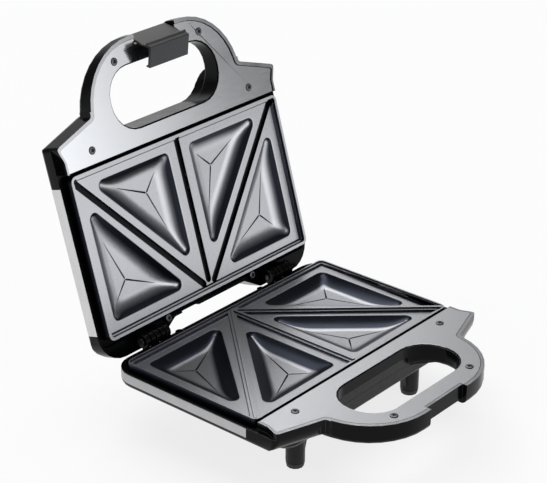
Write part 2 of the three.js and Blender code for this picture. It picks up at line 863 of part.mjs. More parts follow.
function thermalFuse(name, landDepth) {
  const level = troughTop(landDepth) + seatGap + fuseRadius;
  const body = crossCylinder(fuseRadius, -fuseLength / 2, fuseLength / 2, -fuseFront, level);
  const leads = crossCylinder(
    fuseLeadRadius, -fuseLength / 2 - fuseLeadLength, fuseLength / 2 + fuseLeadLength, -fuseFront, level, 8,
  );
  return toMesh(name, body.add(leads), 'ceramic');
}

// Shared plan of a housing: sides, shoulders and the front edge behind the loop
function housingCorners(rearCorners, sideRoll, frontRoll) {
  const shoulder = frontEdge(shellHalfWidth);
  const root = frontEdge(deckRootX);
  return mirrored([
    { x: root.x, y: root.y, r: 0, roll: frontRoll },
    { x: shellHalfWidth, y: shoulder.y, r: shellCornerRadius, roll: sideRoll },
    ...rearCorners,
  ], frontRoll);
}

// The shell's slanted front edge behind the loop, at a place across it
function frontEdge(x) {
  const slope = (deckShoulderFront - deckRootFront) / (deckShoulderX - deckRootX);
  return { x, y: -(deckRootFront + slope * (x - deckRootX) + shellRim * Math.hypot(1, slope)) };
}

// Plan of the loop, which starts well inside the housing
function loopCorners(notchFront, roll) {
  const start = windowRear - channelFront;
  return mirrored([
    { x: notchHalfWidth, y: -notchFront, r: 0, roll: 0 },
    { x: notchHalfWidth, y: -loopFront - shellRim, r: 0, roll },
    { x: loopCornerX + shellRim, y: -loopFront - shellRim, r: loopCornerRadius + shellRim, roll },
    { x: deckRootX + shellRim, y: -deckRootFront, r: 0, roll },
    { x: deckRootX + shellRim, y: -start, r: 0, roll: 0 },
  ]);
}

// Rounds the concave corner between a shoulder and the loop.
function rootFillet(bottom, top) {
  const side = deckRootX + shellRim;
  const corner = frontEdge(side);
  const along = frontEdge(side + rootFilletReach);
  const right = [
    { x: side - overrun, y: corner.y - rootFilletReach, r: 0 },
    { x: side, y: corner.y - rootFilletReach, r: 0 },
    { ...corner, r: rootFilletRadius },
    { ...along, r: 0 },
    { x: along.x, y: along.y + overrun, r: 0 },
    { x: side - overrun, y: corner.y + overrun, r: 0 },
  ];
  return join([1, -1].map((hand) => prism(grown(onSide(right, hand), 0), bottom, top)));
}

// What is cut from the shell's sides at the shoulders, so that a narrow rim follows the deck
function shoulderTrim(level) {
  const right = [
    { x: deckHalfWidth + shoulderRim, y: overrun - deckRear, r: 0 },
    { x: deckHalfWidth + shoulderRim, y: -deckShoulderBend, r: deckBendRadius },
    { x: deckShoulderX + shoulderRim, y: -deckShoulderFront, r: deckBendRadius },
    { x: deckShoulderX + shoulderRim, y: -deckRootFront, r: 0 },
    { x: plateWidth, y: -deckRootFront, r: 0 },
    { x: plateWidth, y: overrun - deckRear, r: 0 },
  ];
  return join([1, -1].map((hand) => prism(grown(onSide(right, hand), 0), level, overrun)));
}

// The finger window, whose lower edge is rounded except at its rear
function windowCut(bottom, heightOf = undefined) {
  const sections = [];
  for (let k = 0; k <= windowRollSteps; k += 1) {
    const height = windowRoll * (1 - Math.cos((Math.PI / 2) * (k / windowRollSteps)));
    const rise = windowRoll - height;
    const opened = windowRoll - Math.sqrt(windowRoll * windowRoll - rise * rise);
    const growOf = (corner) => (corner.rolled ? opened : 0) - windowRimWidth;
    sections.push({ points: roundedOutline(windowCorners, growOf), z: bottom + height });
  }
  sections.unshift({ points: sections[0].points, z: -lidCrown - overrun });
  sections.push({ points: grown(windowCorners, -windowRimWidth), z: overrun });
  return loft(sections, heightOf);
}

// Space under the deck between the cross wall and the window, and round the loop
function deckChannel(notchFront, floor, level, notchFloor = floor) {
  const raised = box(
    -notchHalfWidth - shellWall, notchHalfWidth + shellWall,
    -loopFront - overrun, -windowFront + overrun, floor - overrun, notchFloor,
  );
  const ring = prism(grown(deckCorners(notchFront), -deckLedge), floor, level).subtract(raised);
  const island = prism(grown(windowCorners, shellWall), floor - overrun, level + overrun);
  const rear = box(-plateWidth, plateWidth, -deckRear - crossWall, 0, floor - overrun, level + overrun);
  return ring.subtract(island).subtract(rear);
}

function deckRecess(notchFront, level) {
  return prism(grown(deckCorners(notchFront), deckGap), level - deckThickness - seatGap / 3, level + overrun)
    .subtract(box(-plateWidth, plateWidth, -deckRear + deckGap, plateDepth, level - overrun, level + overrun));
}

function knuckleSlices(forLid) {
  const pitch = (hingeOuterX - hingeInnerX) / hingeKnuckleCount;
  const slices = [];
  for (let k = 0; k < hingeKnuckleCount; k += 1) {
    if ((k % 2 === 1) !== forLid) continue;
    [1, -1].forEach((side) => {
      const near = side * (hingeInnerX + k * pitch + hingeKnuckleGap / 2);
      const far = side * (hingeInnerX + (k + 1) * pitch - hingeKnuckleGap / 2);
      slices.push([Math.min(near, far), Math.max(near, far)]);
    });
  }
  return slices;
}

// Base half

function baseShell() {
  const corners = housingCorners(
    [{ x: shellHalfWidth, y: -baseRear, r: baseRearCornerRadius, roll: baseRearRoll }],
    baseSideRoll,
    baseFrontRoll,
  );
  const body = rolledBody(corners, -baseThickness, 0);
  const loop = rolledBody(loopCorners(baseNotchShellFront, baseLoopRoll), -baseLoopThickness, 0);
  let shell = body.add(loop).add(rootFillet(-baseLoopThickness + baseLoopRoll, 0));
  const floor = -baseThickness + baseFloorThickness;

  shell = shell.subtract(box(
    -plateWidth, plateWidth, -deckRear + deckGap, plateDepth, shellSideTop, overrun,
  ));
  const well = mirrored([
    { x: plateWidth / 2 + channelSide, y: -deckRear + channelFront, r: plateCornerRadius },
    { x: plateWidth / 2 + channelSide, y: -baseRear - shellWall, r: baseRearCornerRadius - shellWall },
  ]);
  const cavity = prism(grown(well, 0), floor, overrun);
  const ledgeTop = -plateSkirt - seatGap;
  const ledgeRing = prism(grown(well, overrun), ledgeTop - plateLedgeThickness, ledgeTop)
    .subtract(prism(grown(plateCorners, -plateLedgeWidth / 2), ledgeTop - plateSkirt, overrun));
  const rearOpen = box(
    -panHalfWidth, panHalfWidth, -plateWall, plateDepth, ledgeTop - plateSkirt, overrun,
  );
  shell = shell.subtract(cavity.subtract(ledgeRing.subtract(rearOpen)));

  const channel = deckChannel(
    baseNotchDeckFront, -baseLoopThickness + shellWall, baseDeckLevel,
    hookTop() + clipLipRise + clipGap + shellWall,
  );
  shell = shell.subtract(channel).subtract(deckRecess(baseNotchDeckFront, baseDeckLevel));
  shell = shell.subtract(shoulderTrim(shellSideTop));
  shell = shell.subtract(windowCut(-baseLoopThickness));
  const inside = prism(
    grown(panCorners(), -panWall - seatGap),
    -baseThickness - overrun,
    -baseThickness + baseFloorThickness + overrun,
  ).subtract(box(
    -plateWidth, plateWidth, -windowFront, -windowRear + windowRimWidth + shellWall, -baseThickness * 2, overrun,
  ));
  shell = shell.subtract(inside);
  const tongueCut = box(
    -tongueHalfWidth - seatGap, tongueHalfWidth + seatGap,
    -windowRear - overrun, -windowRear + panWall + seatGap,
    -baseThickness - overrun, tongueTop + seatGap,
  );
  shell = shell.subtract(tongueCut);

  const bosses = deckScrewPlaces().map(([x, y]) => cylinder(
    screwBossRadius, x, y,
    -baseLoopThickness + shellWall / 2, baseDeckLevel - deckThickness - seatGap / 3, bossSegments,
  ));
  const panBosses = panScrewPlaces().map(([x, y]) => cylinder(
    screwBossRadius, x, y, -baseThickness, -plateSkirt - seatGap * 3, bossSegments,
  ));
  const ribs = panScrewPlaces().map(([x, y]) => box(
    x - crossWall / 2, x + crossWall / 2,
    y,
    y > -plateDepth ? -baseRear - shellWall / 2 : -deckRear + channelFront - crossWall / 2,
    -baseThickness, -plateSkirt - seatGap * 3,
  ));
  shell = shell.add(join([...bosses, ...panBosses, ...ribs]));
  deckScrewPlaces().forEach(([x, y]) => {
    shell = shell.subtract(cylinder(
      deckScrewShankRadius + screwGap, x, y, baseDeckLevel - deckScrewLength - deckThickness, overrun, holeSegments,
    ));
  });
  panScrewPlaces().forEach(([x, y]) => {
    shell = shell.subtract(cylinder(
      deckScrewShankRadius + screwGap, x, y, -baseThickness - overrun, -plateSkirt - overrun, holeSegments,
    ));
  });
  plateScrewPlaces().forEach(([x, y]) => {
    shell = shell.subtract(cylinder(
      deckScrewHeadRadius + screwGap, x, y, -baseThickness - overrun, reflectorTop(baseLandDepth) + overrun, holeSegments,
    ));
  });

  shell = shell.subtract(bandRing(bandThickness + seatGap / 2, seatGap / 2));

  const notchRecess = box(
    -notchHalfWidth, notchHalfWidth, -loopFront - shellRim - overrun, -windowFront + overrun + windowRimWidth,
    -baseLoopThickness - overrun, hookTop() + clipGap,
  );
  const lipRecess = box(
    -notchHalfWidth, notchHalfWidth,
    hookEndY() - clipLipLength - clipGap, -windowFront + overrun + windowRimWidth,
    -baseLoopThickness - overrun, hookTop() + clipLipRise + clipGap,
  );
  shell = shell.subtract(notchRecess).subtract(lipRecess);

  const lugs = knuckleSlices(false).map(([x0, x1]) => join([
    crossCylinder(hingeKnuckleRadius, x0, x1, hingeY, hingeZ),
    box(x0, x1, -baseRear - shellWall, hingeY, hingeZ - hingeKnuckleRadius * 2, hingeZ),
  ]));
  const clearances = knuckleSlices(true).map(([x0, x1]) => crossCylinder(
    hingeKnuckleRadius + hingeSwingGap, x0 - hingeKnuckleGap, x1 + hingeKnuckleGap, hingeY, hingeZ,
  ));
  shell = shell.add(join(lugs)).subtract(join(clearances));
  const bores = [1, -1].map((side) => crossCylinder(
    hingePinRadius + hingePinGap,
    Math.min(side * (hingeInnerX - overrun), side * (hingeOuterX + overrun)),
    Math.max(side * (hingeInnerX - overrun), side * (hingeOuterX + overrun)),
    hingeY, hingeZ,
  ));
  shell = shell.subtract(join(bores));
  const bumpers = [1, -1].map((side) => lathe([
    [0, shellSideTop - overrun],
    [bumperRadius, shellSideTop - overrun],
    [bumperRadius, (shellSideTop + bumperTop) / 2],
    [bumperRadius * 0.6, bumperTop],
    [0, bumperTop],
  ], side * bumperX, -baseRear - bumperRadius + overrun / 2));
  shell = shell.add(join(bumpers));
  return toMesh('base_housing', shell, 'gloss');
}

// The strip of the housing's side wall that the steel bands fill
function bandRing(depth, gap) {
  const corners = housingCorners(
    [{ x: shellHalfWidth, y: -baseRear, r: baseRearCornerRadius }], 0, 0,
  );
  const outer = prism(grown(corners, overrun), bandBottom - gap, bandTop + gap);
  const inner = prism(grown(corners, -depth), bandBottom - overrun, bandTop + overrun);
  const span = box(-plateWidth, plateWidth, -bandFront - gap, -bandRear + gap, bandBottom - overrun, bandTop + overrun);
  return outer.subtract(inner).intersect(span);
}

function sideBand(name, side) {
  const corners = housingCorners(
    [{ x: shellHalfWidth, y: -baseRear, r: baseRearCornerRadius }], 0, 0,
  );
  const half = box(
    side > 0 ? 0 : -plateWidth, side > 0 ? plateWidth : 0,
    -plateDepth - plateDepth, plateDepth, bandBottom - overrun, bandTop + overrun,
  );
  const band = bandRing(bandThickness, 0).intersect(prism(grown(corners, 0), bandBottom, bandTop)).intersect(half);
  return toMesh(name, band, 'steel');
}

function panScrewPlaces() {
  const places = [];
  [1, -1].forEach((side) => {
    places.push([side * panScrewX, -panScrewFront]);
    places.push([side * panScrewRearX, -panScrewRear]);
  });
  return places;
}

function panCorners() {
  return mirrored([
    { x: panHalfWidth, y: -windowRear, r: panCornerRadius },
    { x: panHalfWidth, y: -panRear, r: panCornerRadius },
  ]);
}

function bottomPan() {
  const rim = -baseThickness - seatGap;
  const outer = loft([
    { points: grown(panCorners(), -panDraft), z: panBottom },
    { points: grown(panCorners(), -panDraft / 4), z: panBottom + panDraft },
    { points: grown(panCorners(), 0), z: rim },
  ]);
  const inner = loft([
    { points: grown(panCorners(), -panDraft - panWall), z: panBottom + panWall },
    { points: grown(panCorners(), -panWall), z: rim + overrun },
  ]);
  let pan = outer;
  const tongueFront = -windowRear + seatGap / 3;
  const tongue = box(
    -tongueHalfWidth, tongueHalfWidth, tongueFront, tongueFront + panWall, rim - panWall, tongueTop,
  );
  const stems = footPlaces().map(([x, y]) => footStem(x, y));
  const towers = panScrewPlaces().map(([x, y]) => cylinder(
    screwBossRadius * 1.2, x, y, panBottom + panWall / 2, rim, bossSegments,
  ));
  pan = pan.subtract(inner).add(join([tongue, ...stems, ...towers]));
  panScrewPlaces().forEach(([x, y]) => {
    pan = pan.subtract(cylinder(deckScrewShankRadius + screwGap, x, y, panBottom - overrun, rim + overrun, holeSegments));
    pan = pan.subtract(cylinder(
      deckScrewHeadRadius + screwGap, x, y, panBottom - overrun, rim - panWall, roundSegments,
    ));
  });
  const vents = [];
  for (let k = 0; k < ventCount; k += 1) {
    const x = (k - (ventCount - 1) / 2) * ventPitch;
    const front = -ventCentre - ventLength / 2;
    const r = ventWidth / 2 - smallestRadius / 4;
    vents.push(prism(grown([
      { x: x - ventWidth / 2, y: front, r },
      { x: x + ventWidth / 2, y: front, r },
      { x: x + ventWidth / 2, y: front + ventLength, r },
      { x: x - ventWidth / 2, y: front + ventLength, r },
    ], 0), panBottom - overrun, panBottom + panWall + overrun));
  }
  pan = pan.subtract(join(vents));
  const geometry = new THREE.CylinderGeometry(glandRadius + seatGap, glandRadius + seatGap, panWall * 6, roundSegments);
  geometry.translate(0, -panRear - panWall, glandLevel);
  pan = pan.subtract(toSolid(geometry));
  return toMesh('bottom_pan', pan, 'satin');
}

function footPlaces() {
  return [
    [footX, -footFront],
    [-footX, -footFront],
    [footRearX, -footRear],
    [-footRearX, -footRear],
  ];
}

// A leg moulded on the pan, with a gusset toward the middle and a socket for its pad
function footStem(x, y) {
  const end = footTip + footPadHeight;
  const stem = cylinder(footRadius, x, y, end, panBottom + panWall / 2);
  const toward = -Math.sign(x);
  const height = panBottom - end;
  const gusset = depthPrism([
    [x, panBottom + panWall / 2],
    [x + toward * (footRadius + footGussetReach), panBottom + panWall / 2],
    [x + toward * (footRadius + footGussetReach * 0.35), panBottom - height * 0.3],
    [x + toward * (footRadius + footGussetReach * 0.05), panBottom - height * 0.8],
    [x, panBottom - height * 0.9],
  ], y - footGussetThickness / 2, y + footGussetThickness / 2);
  return stem.add(gusset).subtract(cylinder(footRadius / 2, x, y, end - overrun, end + footPadHeight));
}

function footPad(name, x, y) {
  const end = footTip + footPadHeight - seatGap;
  const pad = lathe([
    [0, footTip],
    [footRadius * footFlatShare, footTip],
    [footRadius * footShoulderShare, footTip + footPadHeight * 0.2],
    [footRadius, end],
    [footRadius / 2 - seatGap, end],
    [footRadius / 2 - seatGap, end + footPadHeight - seatGap],
    [0, end + footPadHeight - seatGap],
  ], x, y);
  return toMesh(name, pad, 'rubber');
}

function cordGland() {
  const inside = -panRear - panDraft - panWall;
  const outside = -panRear;
  const profile = [
    [glandBoreRadius, inside - glandFlange],
    [glandInnerFlangeRadius, inside - glandFlange],
    [glandInnerFlangeRadius, inside - seatGap],
    [glandRadius, inside - seatGap],
    [glandRadius, outside + seatGap],
    [glandFlangeRadius, outside + seatGap],
    [glandFlangeRadius, outside + glandFlange + seatGap],
    [glandBoreRadius, outside + glandFlange + seatGap],
    [glandBoreRadius, inside - glandFlange],
  ];
  const points = profile.map(([radius, along]) => new THREE.Vector2(radius, along));
  const geometry = new THREE.LatheGeometry(points, holeSegments);
  geometry.translate(0, 0, glandLevel);
  return toMesh('cord_gland', toSolid(geometry), 'rubber');
}

function terminalBlock() {
  const floor = panBottom + panWall + seatGap;
  const block = box(
    -terminalBlockWidth / 2, terminalBlockWidth / 2,
    -terminalBlockFront - terminalBlockDepth / 2, -terminalBlockFront + terminalBlockDepth / 2,
    floor, floor + terminalBlockHeight,
  );
  const ways = [-1, 0, 1].map((step) => cylinder(
    fuseRadius, (step * terminalBlockWidth) / 3, -terminalBlockFront,
    floor + terminalBlockHeight / 2, floor + terminalBlockHeight + overrun, holeSegments,
  ));
  return toMesh('terminal_block', block.subtract(join(ways)), 'ceramic');
}

function hingePin(name, side) {
  const near = side * (hingeInnerX - hingePinGap);
  const far = side * (hingeOuterX + hingePinGap);
  const head = side * (hingeOuterX + hingePinGap + hingePinRadius / 2);
  const shank = crossCylinder(hingePinRadius, Math.min(near, far), Math.max(near, far), hingeY, hingeZ);
  const cap = crossCylinder(hingePinRadius * 1.6, Math.min(far, head), Math.max(far, head), hingeY, hingeZ);
  return toMesh(name, shank.add(cap), 'screw');
}

// Latch clip levels in the closed frame, where its hook lies under the base's loop
function clipPinZ() {
  return plateGap + clipPinDepth;
}

function hookTop() {
  return clipPinZ() - clipDrop + clipThickness;
}

function hookEndY() {
  return -clipHookEnd;
}

// Lid half, modelled cooking side up and turned over afterwards

function lidDomePoints(shrink) {
  const half = shellHalfWidth - shrink;
  const edge = -lidEdgeThickness + shrink;
  const crown = -lidCrown + shrink;
  const roll = lidEdgeRoll - shrink;
  const points = [];
  const rollSteps = 3;
  for (let k = 0; k <= rollSteps; k += 1) {
    const angle = (Math.PI / 2) * (k / rollSteps);
    points.push([half - roll + roll * Math.cos(angle), edge + roll - roll * Math.sin(angle)]);
  }
  const inner = half - roll;
  const domeSteps = 7;
  for (let k = 1; k <= domeSteps; k += 1) {
    const share = 1 - k / domeSteps;
    points.push([inner * share, edge + (crown - edge) * (1 - share ** lidDomePower)]);
  }
  const left = points.slice(0, -1).map(([x, z]) => [-x, z]).reverse();
  return [...points, ...left];
}

// The level of the lid's outside at a place across it, less a wall
function domeLevel(x, wall) {
  const share = Math.abs(x) / (shellHalfWidth - lidEdgeRoll);
  return wall - lidEdgeThickness + (lidEdgeThickness - lidCrown) * (1 - share ** lidDomePower);
}

// The opening in the moulding that the steel cover spans
function coverOpening() {
  const corners = mirrored([
    { x: shellHalfWidth - lidEdgeRoll - coverLedge, y: coverLedge - coverFront, r: coverOpeningRadius },
    { x: shellHalfWidth - lidEdgeRoll - coverLedge, y: -coverRear - coverLedge, r: coverOpeningRadius },
  ]);
  return prism(grown(corners, 0), -lidCrown - overrun, shellWall + overrun - lidEdgeThickness);
}

// The lid's front, hollow between its cross wall and its front edge, round the finger window
function lidFrontHollow(corners, top) {
  const room = depthPrism(
    [...lidDomePoints(shellWall), [-shellHalfWidth, overrun], [shellHalfWidth, overrun]],
    -deckRootFront - shellRim - shellRim, -deckRear - crossWall,
  );
  const underDeck = prism(grown(deckCorners(lidNotchDeckFront), -deckLedge), -lidCrown, overrun);
  const island = prism(grown(windowCorners, shellWall + windowRoll), -lidCrown - overrun, overrun + overrun);
  return rolledBody(corners, -lidCrown, top, 6, undefined, shellWall)
    .intersect(room).intersect(underDeck).subtract(island);
}

function rearBossPlaces() {
  return [[rearBossX, rearBossSetback], [-rearBossX, rearBossSetback]];
}

function lidShell() {
  const corners = housingCorners(
    [
      { x: shellHalfWidth, y: -lidRearSide, r: lidRearCornerRadius, roll: lidRearRoll },
      { x: hingeInnerX - hingeKnuckleGap, y: -lidRearSide, r: plateCornerRadius, roll: lidEdgeRoll },
      { x: bumperX - bumperRadius * 2, y: -lidRearCentre, r: plateCornerRadius, roll: lidEdgeRoll },
    ],
    lidEdgeRoll,
    lidFrontRoll,
  );
  let body = rolledBody(corners, -lidCrown, 0, 6);
  const dome = depthPrism(
    [...lidDomePoints(0), [-shellHalfWidth, overrun], [shellHalfWidth, overrun]],
    -deckRootFront - shellRim - shellRim, -lidRearSide + overrun,
  );
  body = body.intersect(dome);
  const coverZone = box(
    -plateWidth, plateWidth, -coverFront - seatGap / 2, -coverRear + seatGap / 2, -lidCrown * 2, lidSideTop,
  );
  const narrow = depthPrism(
    [...lidDomePoints(coverThickness + seatGap / 2),
      [-shellHalfWidth + coverThickness + seatGap / 2, overrun],
      [shellHalfWidth - coverThickness - seatGap / 2, overrun]],
    -coverFront - overrun, -coverRear + overrun,
  );
  body = body.subtract(coverZone.subtract(narrow));
  const loop = rolledBody(
    loopCorners(lidNotchShellFront, lidLoopRoll), -lidLoopRootThickness, 0, 4, taperedHeight,
  );
  let shell = body.add(loop).add(rootFillet(-lidLoopRootThickness + lidLoopRoll, 0));

  shell = shell.subtract(box(
    -plateWidth, plateWidth, -deckRear + deckGap, plateDepth, lidSideTop, overrun,
  ));
  const well = mirrored([
    { x: plateWidth / 2 + channelSide - coverThickness, y: -deckRear + channelFront, r: plateCornerRadius },
    { x: plateWidth / 2 + channelSide - coverThickness, y: -lidRearCentre - shellWall, r: plateCornerRadius },
  ]);
  const hollow = depthPrism(
    [...lidDomePoints(coverThickness + shellWall), [-shellHalfWidth, overrun], [shellHalfWidth, overrun]],
    -deckRear, -lidRearCentre - shellWall,
  );
  const ledgeTop = -plateSkirt - seatGap;
  const ledgeRing = prism(grown(well, overrun), ledgeTop - plateLedgeThickness, ledgeTop)
    .subtract(prism(grown(plateCorners, -plateLedgeWidth / 2), ledgeTop - plateSkirt, overrun));
  const cavity = prism(grown(well, 0), -lidCrown, overrun).intersect(hollow).subtract(ledgeRing);
  shell = shell.subtract(cavity).subtract(coverOpening());

  const floor = -lidLoopFrontThickness + shellWall * 1.3;
  shell = shell.subtract(deckChannel(lidNotchDeckFront, floor, lidDeckLevel));
  shell = shell.subtract(lidFrontHollow(corners, floor + shellWall));
  shell = shell.subtract(deckRecess(lidNotchDeckFront, lidDeckLevel));
  shell = shell.subtract(shoulderTrim(lidSideTop));
  shell = shell.subtract(windowCut(-lidLoopRootThickness, taperedHeight));
  const bosses = deckScrewPlaces().map(([x, y]) => cylinder(
    screwBossRadius, x, y,
    y > -windowRear ? domeLevel(x, shellWall / 2) : floor - shellWall / 2,
    lidDeckLevel - deckThickness - seatGap / 3, bossSegments,
  ));
  shell = shell.add(join(bosses));
  deckScrewPlaces().forEach(([x, y]) => {
    shell = shell.subtract(cylinder(
      deckScrewShankRadius + screwGap, x, y, lidDeckLevel - deckScrewLength - deckThickness, overrun, holeSegments,
    ));
  });

  const lugY = hingeY;
  const lugZ = plateGap - hingeZ;
  const lugs = knuckleSlices(true).map(([x0, x1]) => join([
    crossCylinder(hingeKnuckleRadius, x0, x1, lugY, lugZ),
    box(x0, x1, lugY - hingeKnuckleRadius, lugY + hingeKnuckleRadius * 0.6, lidSideTop - shellWall, lugZ),
  ]));
  const clearances = knuckleSlices(false).map(([x0, x1]) => crossCylinder(
    hingeKnuckleRadius + hingeSwingGap, x0 - hingeKnuckleGap, x1 + hingeKnuckleGap, lugY, lugZ,
  ));
  shell = shell.add(join(lugs)).subtract(join(clearances));
  const bores = [1, -1].map((side) => crossCylinder(
    hingePinRadius + hingePinGap,
    Math.min(side * (hingeInnerX - overrun), side * (hingeOuterX + overrun)),
    Math.max(side * (hingeInnerX - overrun), side * (hingeOuterX + overrun)),
    lugY, lugZ,
  ));
  shell = shell.subtract(join(bores));

  const rearBosses = rearBossPlaces().map(([x, y]) => cylinder(
    rearBossRadius, x, y, -lidEdgeThickness, rearBossTop, bossSegments,
  ));
  const rearHoles = rearBossPlaces().map(([x, y]) => cylinder(
    deckScrewShankRadius + screwGap, x, y, rearBossTop - deckScrewLength - screwGap, overrun, holeSegments,
  ));
  shell = shell.add(join(rearBosses)).subtract(join(rearHoles));
  shell = shell.subtract(box(
    skirtNotchX, skirtNotchX + skirtNotchWidth, skirtNotchSetback, plateDepth,
    lidSideTop - skirtNotchDrop, overrun,
  ));

  const pinHoles = crossCylinder(
    clipPinRadius + clipPinGap,
    -notchHalfWidth - clipPinReach - clipPinGap, notchHalfWidth + clipPinReach + clipPinGap,
    -clipPinFront, -clipPinDepth,
  );
  shell = shell.subtract(pinHoles);
  [1, -1].forEach((side) => {
    shell = shell.subtract(cylinder(
      lampRadius + seatGap, side * lampX, -lampFront, -lidCrown * 2, -lidCrown + lampLength + overrun,
    ));
  });
  return toMesh('lid_housing', shell, 'gloss');
}

// Thins the lid's loop evenly from its root to its front.
function taperedHeight(point, z) {
  const start = -windowRear;
  const end = -loopFront - shellRim;
  const lossShare = 1 - lidLoopFrontThickness / lidLoopRootThickness;
  return z * (1 - (lossShare * (point.y - start)) / (end - start));
}

function lidCover() {
  const outer = [...lidDomePoints(0), [-shellHalfWidth, lidSideTop], [shellHalfWidth, lidSideTop]];
  const inside = lidDomePoints(coverThickness);
  const reach = shellHalfWidth - coverThickness;
  const inner = [...inside, [-reach, lidSideTop + overrun], [reach, lidSideTop + overrun]];
  const cover = depthPrism(outer, -coverFront, -coverRear)
    .subtract(depthPrism(inner, -coverFront - overrun, -coverRear + overrun));
  return toMesh('lid_cover', cover, 'steel');
}

function latchClip() {
  const outer = -clipPinFront - clipFaceOffset;
  const inner = outer + clipThickness;
  const top = clipPinZ() + clipTopReach;
  const bottom = clipPinZ() - clipDrop;
  const end = hookEndY();
  const profile = [
    [outer, top - clipThickness / 3],
    [outer, bottom + clipThumbHeight + clipScoopHeight],
    [outer + clipScoopDepth, bottom + clipThumbHeight + clipScoopHeight / 2],
    [outer + clipScoopDepth / 2, bottom + clipThumbHeight + clipScoopDepth],
    [outer - clipThumbReach, bottom + clipThumbHeight],
    [outer - clipThumbReach, bottom + clipThumbHeight - clipBendInset],
    [outer, bottom + clipThickness + clipBendInset],
    [outer + clipBendInset / 3, bottom + clipBendInset],
    [outer + clipBendInset, bottom],
    [end, bottom],
    [end, bottom + clipThickness + clipLipRise],
    [end - clipLipLength * 0.5, bottom + clipThickness + clipLipRise],
    [end - clipLipLength, bottom + clipThickness],
    [inner, bottom + clipThickness],
    [inner, top],
    [outer + clipThickness / 3, top],
  ];
  const strip = crossPrism(profile, -clipHalfWidth, clipHalfWidth);
  const barrel = crossCylinder(clipBarrelRadius, -clipHalfWidth, clipHalfWidth, -clipPinFront, clipPinZ());
  const bore = crossCylinder(
    clipPinRadius + clipPinGap, -clipHalfWidth - overrun, clipHalfWidth + overrun, -clipPinFront, clipPinZ(),
  );
  return toMesh('latch_clip', strip.add(barrel).subtract(bore), 'clip');
}

function latchPin() {
  const reach = notchHalfWidth + clipPinReach;
  return toMesh('latch_pin', crossCylinder(
    clipPinRadius, -reach, reach, -clipPinFront, clipPinZ(),
  ), 'screw');
}

function lampPieces(side, word, look) {
  const seat = -lidCrown - seatGap / 2;
  const lens = lathe([
    [0, seat - lampRise],
    [lampFlangeRadius * 0.7, seat - lampRise],
    [lampFlangeRadius, seat],
    [lampRadius, seat],
    [lampRadius, seat + lampLength / 2],
    [0, seat + lampLength / 2],
  ], side * lampX, -lampFront);
  const bulb = lathe([
    [0, seat + lampLength / 2 + seatGap],
    [lampRadius * 0.8, seat + lampLength / 2 + seatGap],
    [lampRadius * 0.8, seat + lampLength],
    [0, seat + lampLength + lampRise],
  ], side * lampX, -lampFront);
  return [toMesh(`lamp_lens_${word}`, lens, look), toMesh(`neon_lamp_${word}`, bulb, look)];
}

// Assembly

function half(prefix, landDepth, level, notchFront, divided) {
  const flangeSeat = reflectorTop(landDepth) - reflectorThickness - seatGap / 3;
  const names = ['front_right', 'rear_right', 'front_left', 'rear_left'];
  const plateScrews = plateScrewPlaces().map(([x, y], i) => screw(
    `${prefix}_plate_screw_${names[i]}`, x, y, flangeSeat, deckScrewLength * 0.8, false,
  ));
  return [
    cookingPlate(`${prefix}_cooking_plate`, landDepth, divided),
    deckSheet(`${prefix}_deck`, level, notchFront),
    ...deckScrews(prefix, level),
    heatingElement(`${prefix}_heating_element`, landDepth),
    reflector(`${prefix}_reflector`, landDepth),
    ...plateScrews,
  ];
}

const base = new THREE.Group();
base.add(
  baseShell(),
  sideBand('side_band_right', 1),
  sideBand('side_band_left', -1),
  bottomPan(),
  ...half('base', baseLandDepth, baseDeckLevel, baseNotchDeckFront, true),
  thermostat('thermostat', baseLandDepth),
  thermalFuse('thermal_fuse', baseLandDepth),
  terminalBlock(),
  cordGland(),
  hingePin('hinge_pin_right', 1),
  hingePin('hinge_pin_left', -1),
);
const padNames = ['front_right', 'front_left', 'rear_right', 'rear_left'];
footPlaces().forEach(([x, y], i) => base.add(footPad(`foot_pad_${padNames[i]}`, x, y)));
panScrewPlaces().forEach(([x, y], i) => {
  const names = ['front_right', 'rear_right', 'front_left', 'rear_left'];
  const seat = -baseThickness - seatGap - panWall - seatGap / 3;
  base.add(screw(`pan_screw_${names[i]}`, x, y, seat, panScrewLength, false));
});

// The lid half lies face down over the base when closed.
const lidHalf = new THREE.Group();
lidHalf.add(
  lidShell(),
  lidCover(),
  ...rearBossPlaces().map(([x, y], i) => screw(
    `lid_rear_screw_${['left', 'right'][i]}`, x, y, rearBossTop + seatGap / 3, deckScrewLength,
  )),
  ...half('lid', lidLandDepth, lidDeckLevel, lidNotchDeckFront, false),
  ...lampPieces(1, 'left', 'red'),
  ...lampPieces(-1, 'right', 'green'),
);
lidHalf.rotation.y = Math.PI;
lidHalf.position.z = plateGap;

// The clip turns about its pin and rests swung inward against the notch.
const clip = new THREE.Group();
const clipBody = latchClip();
clipBody.position.set(0, clipPinFront, -clipPinZ());
clip.add(clipBody);
clip.position.set(0, -clipPinFront, clipPinZ());
clip.rotation.x = clipSwing;

const lidClosed = new THREE.Group();
lidClosed.add(lidHalf, latchPin(), clip);
lidClosed.position.set(0, -hingeY, -hingeZ);

const lid = new THREE.Group();
lid.add(lidClosed);
lid.position.set(0, hingeY, hingeZ);
lid.rotation.x = -openAngle;

const part = new THREE.Group();
part.add(base, lid);
part.updateMatrixWorld(true);
const bounds = new THREE.Box3().setFromObject(part, true);
part.position.set(
  -(bounds.min.x + bounds.max.x) / 2,
  -(bounds.min.y + bounds.max.y) / 2,
  -bounds.min.z,
);

export default part;
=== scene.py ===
"""Looks and fine detail of a hinged sandwich toaster, shown open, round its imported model."""
import json
import math

import bmesh
import bpy
from mathutils import Matrix, Vector
from mathutils.geometry import delaunay_2d_cdt


